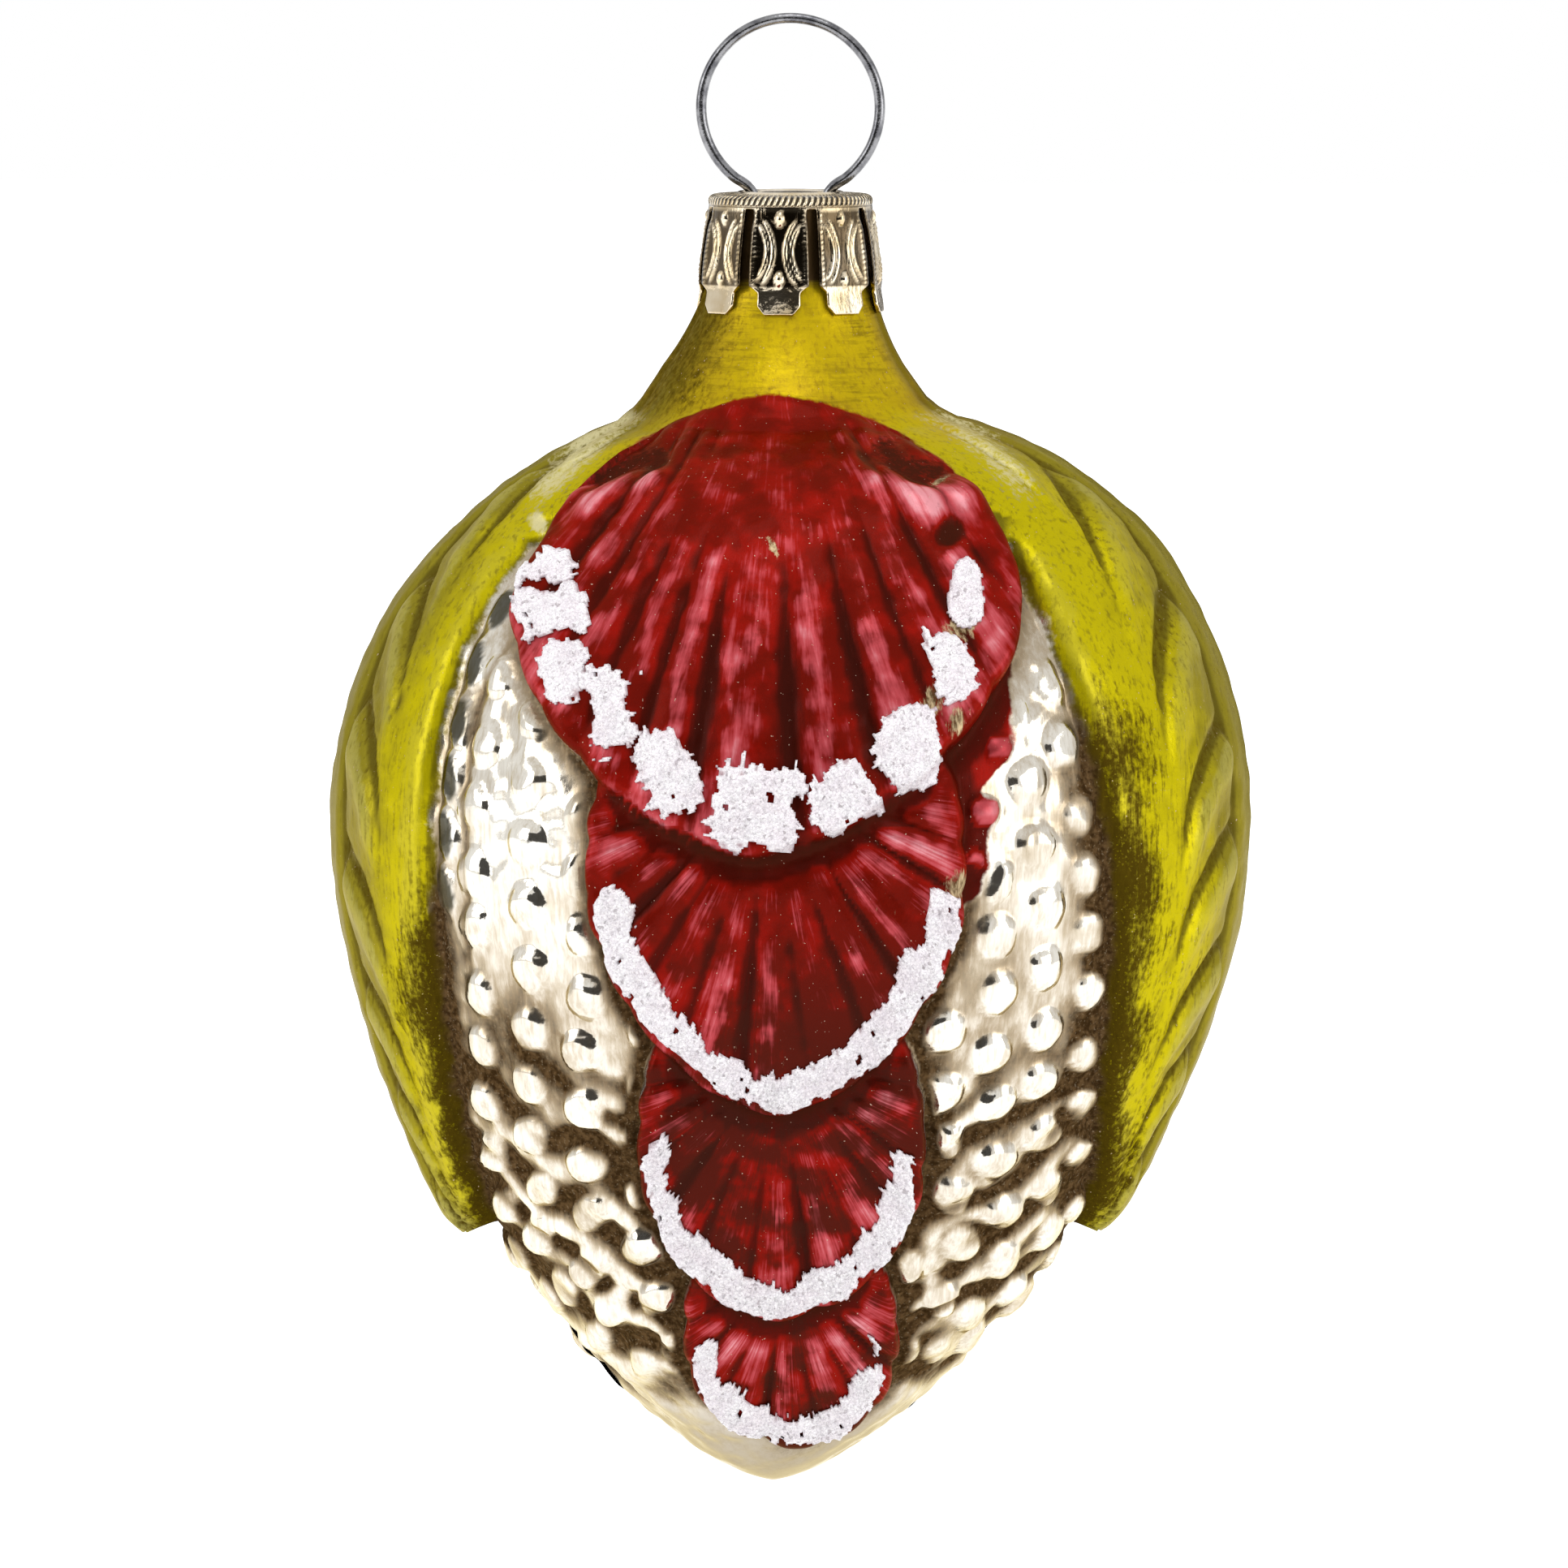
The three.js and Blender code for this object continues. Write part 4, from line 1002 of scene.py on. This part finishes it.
def band_place(shell, start, end, inset):
    """Points of a band along a shell's rim, from one angle of the rim to another, and how long it is."""
    x0, d0 = shell.rim(np.linspace(start, end, 200))
    length = float(np.hypot(np.diff(x0), np.diff(d0)).sum())

    def place(along, up):
        rim_x, rim_depth = shell.rim(start + (end - start) * along / length)
        spoke = np.hypot(rim_x - shell.offset, rim_depth - shell.hinge)
        share = 1 - (inset + up) / spoke
        return shell.offset + (rim_x - shell.offset) * share, shell.hinge + (rim_depth - shell.hinge) * share
    return place, length


# Each dab's x and z, width, height and turn
DABS = [
    (-12.1, -31.2, 3.6, 1.3, 25), (-11.6, -33.4, 3.4, 2.6, 22), (-10.5, -36.4, 2.8, 3.1, 14),
    (-8.0, -38.3, 2.3, 4.5, 8), (-4.8, -41.4, 2.7, 4.2, 20), (-0.2, -43.2, 4.6, 4.2, -6),
    (4.5, -42.9, 3.5, 3.2, 24), (8.1, -40.5, 3.1, 4.4, 28), (10.1, -35.9, 2.1, 3.8, 26),
    (10.7, -32.2, 1.6, 4.2, 8),
]
BANDS = [(1, -90, 88, 1.9), (2, -92, 90, 1.75), (3, -90, 90, 1.55)]  # shell, first and last angle, width
BAND_INSET, BAND_TAPER = 0.7, 3.2


def glitter_trims(half, relief, material):
    for index, (x, z, long, wide, tilt) in enumerate(DABS):
        label = f"{half}_{index + 1:02d}"
        trim_piece("trim_dab_" + label, "glitter_dab_" + label, half, relief,
                   dab_place(x, z, long, wide, tilt), long, wide, 0, 20 + index, material)
    for number, start, end, width in BANDS:
        place, length = band_place(SHELLS[number], start, end, BAND_INSET)
        label = f"{half}_{number + 1}"
        trim_piece("trim_band_" + label, "glitter_band_" + label, half, relief,
                   place, length, width, BAND_TAPER, 40 + number, material)


def cap_outline():
    """The cap's outer face from the middle of its top to the rim's edge, then down a prong."""
    rim, shoulder = (RIM_RADIUS, -RIM_DEPTH), (SKIRT_RADIUS, -SHOULDER_DEPTH)
    dome = bezier(((0, -9.6), (1.3, -9.6), (2.6, -9.66), TOP_EDGE), 40)
    bend = bezier((TOP_EDGE, (4.4, -9.74), (RIM_RADIUS, -9.85), rim), 14)
    prong = bezier((rim, (4.8, -12.0), (SKIRT_RADIUS, -13.2), shoulder), 60)
    tongue = bezier((shoulder, (5.24, -15.5), (5.34, -16.0), (5.44, -TONGUE_END)), 20)
    return Outline(np.concatenate([dome, bend[1:], prong[1:], tongue[1:]]))


def prong_stamp(across, down):
    """The stamped pattern of a prong, from millimetres off its middle line and below its top."""
    side = np.abs(across)
    middle = down - 2.45
    pressed = np.zeros_like(across)
    for bow, curve, reach in ((0.36, 0.19, 1.75), (0.72, 0.23, 1.5)):
        line = bow + curve * middle ** 2
        within = ramp(np.abs(middle), reach + 0.2, reach - 0.3)
        pressed = pressed + 0.17 * within * bump(side - line, 0.105)
    for centre in (0.6, 4.0):
        reach = (across / 0.27) ** 2 + ((down - centre) / 0.42) ** 2
        pressed = pressed + 0.2 * np.sqrt(np.clip(1 - reach, 0, 1))
    rope = ramp(down, -0.05, 0.2) * ramp(down, 4.5, 4.2)
    return pressed + 0.08 * rope * bump(side - 1.5, 0.1) * (0.6 + 0.5 * np.sin(2 * np.pi * down / 0.3))


def stamped_cap(material):
    outline = cap_outline()
    per_prong, per_slot = 30, 4
    pitch = 360 / PRONGS
    width = pitch - SLOT_TURN
    edge_run, slot_run = outline.run_at(TOP_EDGE[1]), outline.run_at(-SLOT_TOP)
    runs = np.concatenate([np.linspace(0, edge_run, 22, endpoint=False),
                           np.linspace(edge_run, slot_run, 16, endpoint=False),
                           np.linspace(slot_run, outline.length, 52)])
    rows = len(runs) - 1
    net, column, row = flat_grid(PRONGS * (per_prong + per_slot), rows)
    run = runs[rows - row]
    prong, step = np.divmod(column, per_prong + per_slot)
    on_prong = step <= per_prong
    offset = np.where(on_prong, (step / per_prong - 0.5) * width,
                      width / 2 + SLOT_TURN * (step - per_prong) / per_slot)
    depth = -outline.height(run)
    half = np.radians(width / 2) * SKIRT_RADIUS
    narrowed = half - 0.5 * np.clip((depth - SHOULDER_DEPTH + 0.35) / 0.4, 0, 1)
    narrowed = narrowed - 0.42 * np.clip((depth - TONGUE_END + 0.5) / 0.5, 0, 1)
    offset = offset * np.where(on_prong, narrowed / half, 1.0)
    below = np.where(on_prong, depth - SLOT_TOP, -9.0)  # millimetres down the prong
    pressed = prong_stamp(np.radians(offset) * SKIRT_RADIUS, below) * ramp(below, -0.1, 0.1)
    rim_ridge = 0.06 * ramp(depth, 9.72, 9.8) * ramp(depth, 10.35, 10.15)
    ring = 0.12 * bump(run - 2.9, 0.25) - 0.08 * bump(run - 3.35, 0.2)
    raised = pressed + rim_ridge + ring
    radial, upward = outline.normal(run)
    flat = 0.975 / np.cos(np.radians(np.where(on_prong, offset, pitch / 2 - 2)))
    radius = outline.radius(run) * (1 + (flat - 1) * ramp(depth, 10.8, 11.8)) + radial * raised
    turn = np.radians(PRONG_TURN + prong * pitch + offset)
    points = np.stack([radius * np.sin(turn), -radius * np.cos(turn), outline.height(run) + upward * raised], -1)
    move_verts(net, points)
    # painted shade in the stamp's recesses and along the rim's lower edge
    painted_recess_shade = ramp(raised, 0.09, 0.0) * ramp(depth, SLOT_TOP, SLOT_TOP + 0.2)
    painted_recess_shade = painted_recess_shade * np.where(depth > SHOULDER_DEPTH - 0.3, 0.2, 1)
    paint_mask(net, "painted_recess_shade", np.maximum(painted_recess_shade, bump(depth - 10.36, 0.08)))

    # Cuts the slots between the prongs and the two holes for the wire
    leg = LEG_SPACING / 2
    in_slot = ~on_prong | (step == 0) | (step == per_prong)
    doomed = []
    for face in net.faces:
        centre = face.calc_center_median() / MM
        between = centre.z < -SLOT_TOP and all(in_slot[vert.index] for vert in face.verts)
        if between or (centre.z > -LEG_TOP and math.hypot(abs(centre.x) - leg, centre.y) < HOLE_RADIUS - 0.02):
            doomed.append(face)
    bmesh.ops.delete(net, geom=doomed, context="FACES")
    bmesh.ops.remove_doubles(net, verts=net.verts, dist=2e-6)
    for vert in net.verts:
        x, y = vert.co.x / MM, vert.co.y / MM
        side = math.copysign(leg, x)
        away = math.hypot(x - side, y)
        if vert.is_boundary and vert.co.z > -LEG_TOP * MM and away < 1.5 * HOLE_RADIUS:
            share = HOLE_RADIUS / away
            vert.co.x, vert.co.y = (side + (x - side) * share) * MM, y * share * MM
    net.normal_update()
    piece = mesh_piece("cap_stamped", as_mesh(net, "cap_stamped"), "cap", "cap", material, "cap")
    wall = piece.modifiers.new("sheet", "SOLIDIFY")
    wall.thickness = CAP_SHEET * MM
    wall.offset = -1
    return piece


def hanger_points():
    """The wire's middle line: up one leg, round the ring and down the other leg."""
    radius, centre = (RING + WIRE) / 2, RING / 2
    opening = math.asin(RING_OPENING / 2 / radius)
    turn_depth = centre + radius * math.cos(opening)
    corner_depth = turn_depth + (RING_OPENING - LEG_SPACING) / 2 * math.tan(opening) - BEND_RISE
    leg = LEG_SPACING / 2
    foot, top, corner, turn = (np.array([x, 0, -depth]) for x, depth in (
        (leg + LEG_SPRING, LEG_END), (leg, LEG_TOP), (leg, corner_depth), (RING_OPENING / 2, turn_depth)))
    side = [foot + (top - foot) * t for t in (0, *np.linspace(0.1, 1, 8))]
    side += [(1 - t) ** 2 * top + 2 * t * (1 - t) * corner + t * t * turn for t in np.linspace(0, 1, 14)[1:]]
    arc = [(radius * math.sin(a), 0, radius * math.cos(a) - centre)
           for a in np.linspace(math.pi - opening, -math.pi + opening, 150)[1:-1]]
    return side + arc + [(-x, y, z) for x, y, z in reversed(side)]


def wire_hanger(material):
    path = bpy.data.curves.new("hanger_path", "CURVE")
    path.dimensions = "3D"
    path.bevel_depth = WIRE / 2 * MM
    path.bevel_resolution = 6
    path.use_fill_caps = True
    points = hanger_points()
    spline = path.splines.new("POLY")
    spline.points.add(len(points) - 1)
    for place, point in zip(spline.points, points):
        place.co = (*(value * MM for value in point), 1)
    bare = in_scene("hanger_path", path)
    mesh = bpy.data.meshes.new_from_object(bare.evaluated_get(bpy.context.evaluated_depsgraph_get()))
    bpy.data.objects.remove(bare)
    return mesh_piece("hanger_wire", mesh, "hanger", "wire", material, "hanger")


def direction(azimuth, elevation):
    a, e = math.radians(azimuth), math.radians(elevation)
    return Vector((math.sin(a) * math.cos(e), -math.cos(a) * math.cos(e), math.sin(e)))


def aim(thing, target, way, distance):
    """Puts a camera or lamp that far from its target, looking back at it."""
    thing.location = target + way * distance
    thing.rotation_euler = (-way).to_track_quat("-Z", "Y").to_euler()


def camera():
    data = bpy.data.cameras.new("camera")
    data.sensor_width = SENSOR
    data.lens = CAMERA_LENS
    data.clip_start, data.clip_end = 0.01, 20
    shown = in_scene("camera", data)
    turn = math.radians(CAMERA_TURN)
    target = Vector((math.cos(turn), math.sin(turn), 0)) * CAMERA_TARGET[0] * MM
    target += Vector((0, 0, CAMERA_TARGET[1] * MM))
    aim(shown, target, direction(CAMERA_TURN, CAMERA_RISE), CAMERA_DISTANCE)
    bpy.context.scene.camera = shown


def seen_by(tree, first, *others):
    """1 for the rays that are named and 0 for the rest."""
    rays = new_node(tree, "LightPath").outputs
    total = rays[first]
    for name in others:
        total = new_node(tree, "Math", {"operation": "MAXIMUM"}, {0: total, 1: rays[name]}).outputs[0]
    return total


def studio():
    """Even light from all round that is plain white where it is seen, with soft boxes and dark cards."""
    scene = bpy.context.scene
    scene.view_settings.view_transform = "Standard"
    scene.world = bpy.data.worlds.new("studio")
    tree = cleared_tree(scene.world)
    lit, plain = (new_node(tree, "Background", None, {"Color": WHITE, "Strength": strength}).outputs[0]
                  for strength in (0.95, 1.0))
    seen = seen_by(tree, "Is Camera Ray", "Is Glossy Ray", "Is Transmission Ray")
    mixed = new_node(tree, "MixShader", None, {0: seen, 1: lit, 2: plain})
    new_node(tree, "OutputWorld", None, {0: mixed.outputs[0]})
    floor()
    softbox("left", -62, 18, 0.5, 1.8)
    softbox("right", 66, 12, 0.5, 1.85)
    softbox("top", 10, 72, 0.45, 1.6)
    dark_card("front", -8, 6, 0.95, (1.5, 0.7))
    dark_card("behind", 180, 0, 0.9, (0.5, 0.5))


def softbox(name, azimuth, elevation, size, power):
    data = bpy.data.lights.new("softbox_" + name, "AREA")
    data.size = size
    data.energy = power
    lamp = in_scene("softbox_" + name, data)
    aim(lamp, MIDDLE, direction(azimuth, elevation), LAMP_DISTANCE)
    lamp.visible_camera = False


def dark_card(name, azimuth, elevation, distance, size):
    """A dark card that is seen only in the gloss of the object."""
    net = bmesh.new()
    bmesh.ops.create_grid(net, x_segments=1, y_segments=1, size=0.5)
    way = direction(azimuth, elevation)
    turn = way.to_track_quat("Z", "Y")
    for vert in net.verts:
        vert.co = MIDDLE + way * distance + turn @ Vector((vert.co.x * size[0], vert.co.y * size[1], 0))
    mesh = as_mesh(net, "card_" + name)
    card = in_scene("card_" + name, mesh)
    mesh.materials.append(Finish("dark_card", Roughness=0.9, Base_Color=(0.02, 0.018, 0.016, 1)).material)
    card.visible_camera = False
    card.visible_diffuse = False
    card.visible_shadow = False


def floor():
    """A matte floor that is near white where it is seen."""
    net = bmesh.new()
    bmesh.ops.create_grid(net, x_segments=1, y_segments=1, size=3)
    for vert in net.verts:
        vert.co.z = FLOOR
    mesh = as_mesh(net, "floor")
    ground = in_scene("floor", mesh)
    material = bpy.data.materials.new("pale_floor")
    tree = cleared_tree(material)
    matte = new_node(tree, "BsdfDiffuse", None, {"Color": (0.9, 0.9, 0.9, 1)})
    seen = seen_by(tree, "Is Camera Ray", "Is Glossy Ray")
    strength = new_node(tree, "Math", {"operation": "MULTIPLY"}, {0: seen, 1: 0.62})
    glow = new_node(tree, "Emission", None, {"Color": WHITE, "Strength": strength.outputs[0]})
    total = new_node(tree, "AddShader", None, {0: matte.outputs[0], 1: glow.outputs[0]})
    new_node(tree, "OutputMaterial", None, {0: total.outputs[0]})
    mesh.materials.append(material)


camera()
studio()
glass_finish = painted_glass()
glitter_finish = crushed_glass_paint()
for half_name, half_seed in (("front", 1), ("back", 7)):
    half_relief = Relief(half_name, half_seed)
    glass_half(half_name, half_relief, glass_finish)
    glitter_trims(half_name, half_relief, glitter_finish)
glass_inside(inner_silvering())
stamped_cap(plated_cap())
wire_hanger(steel_wire())
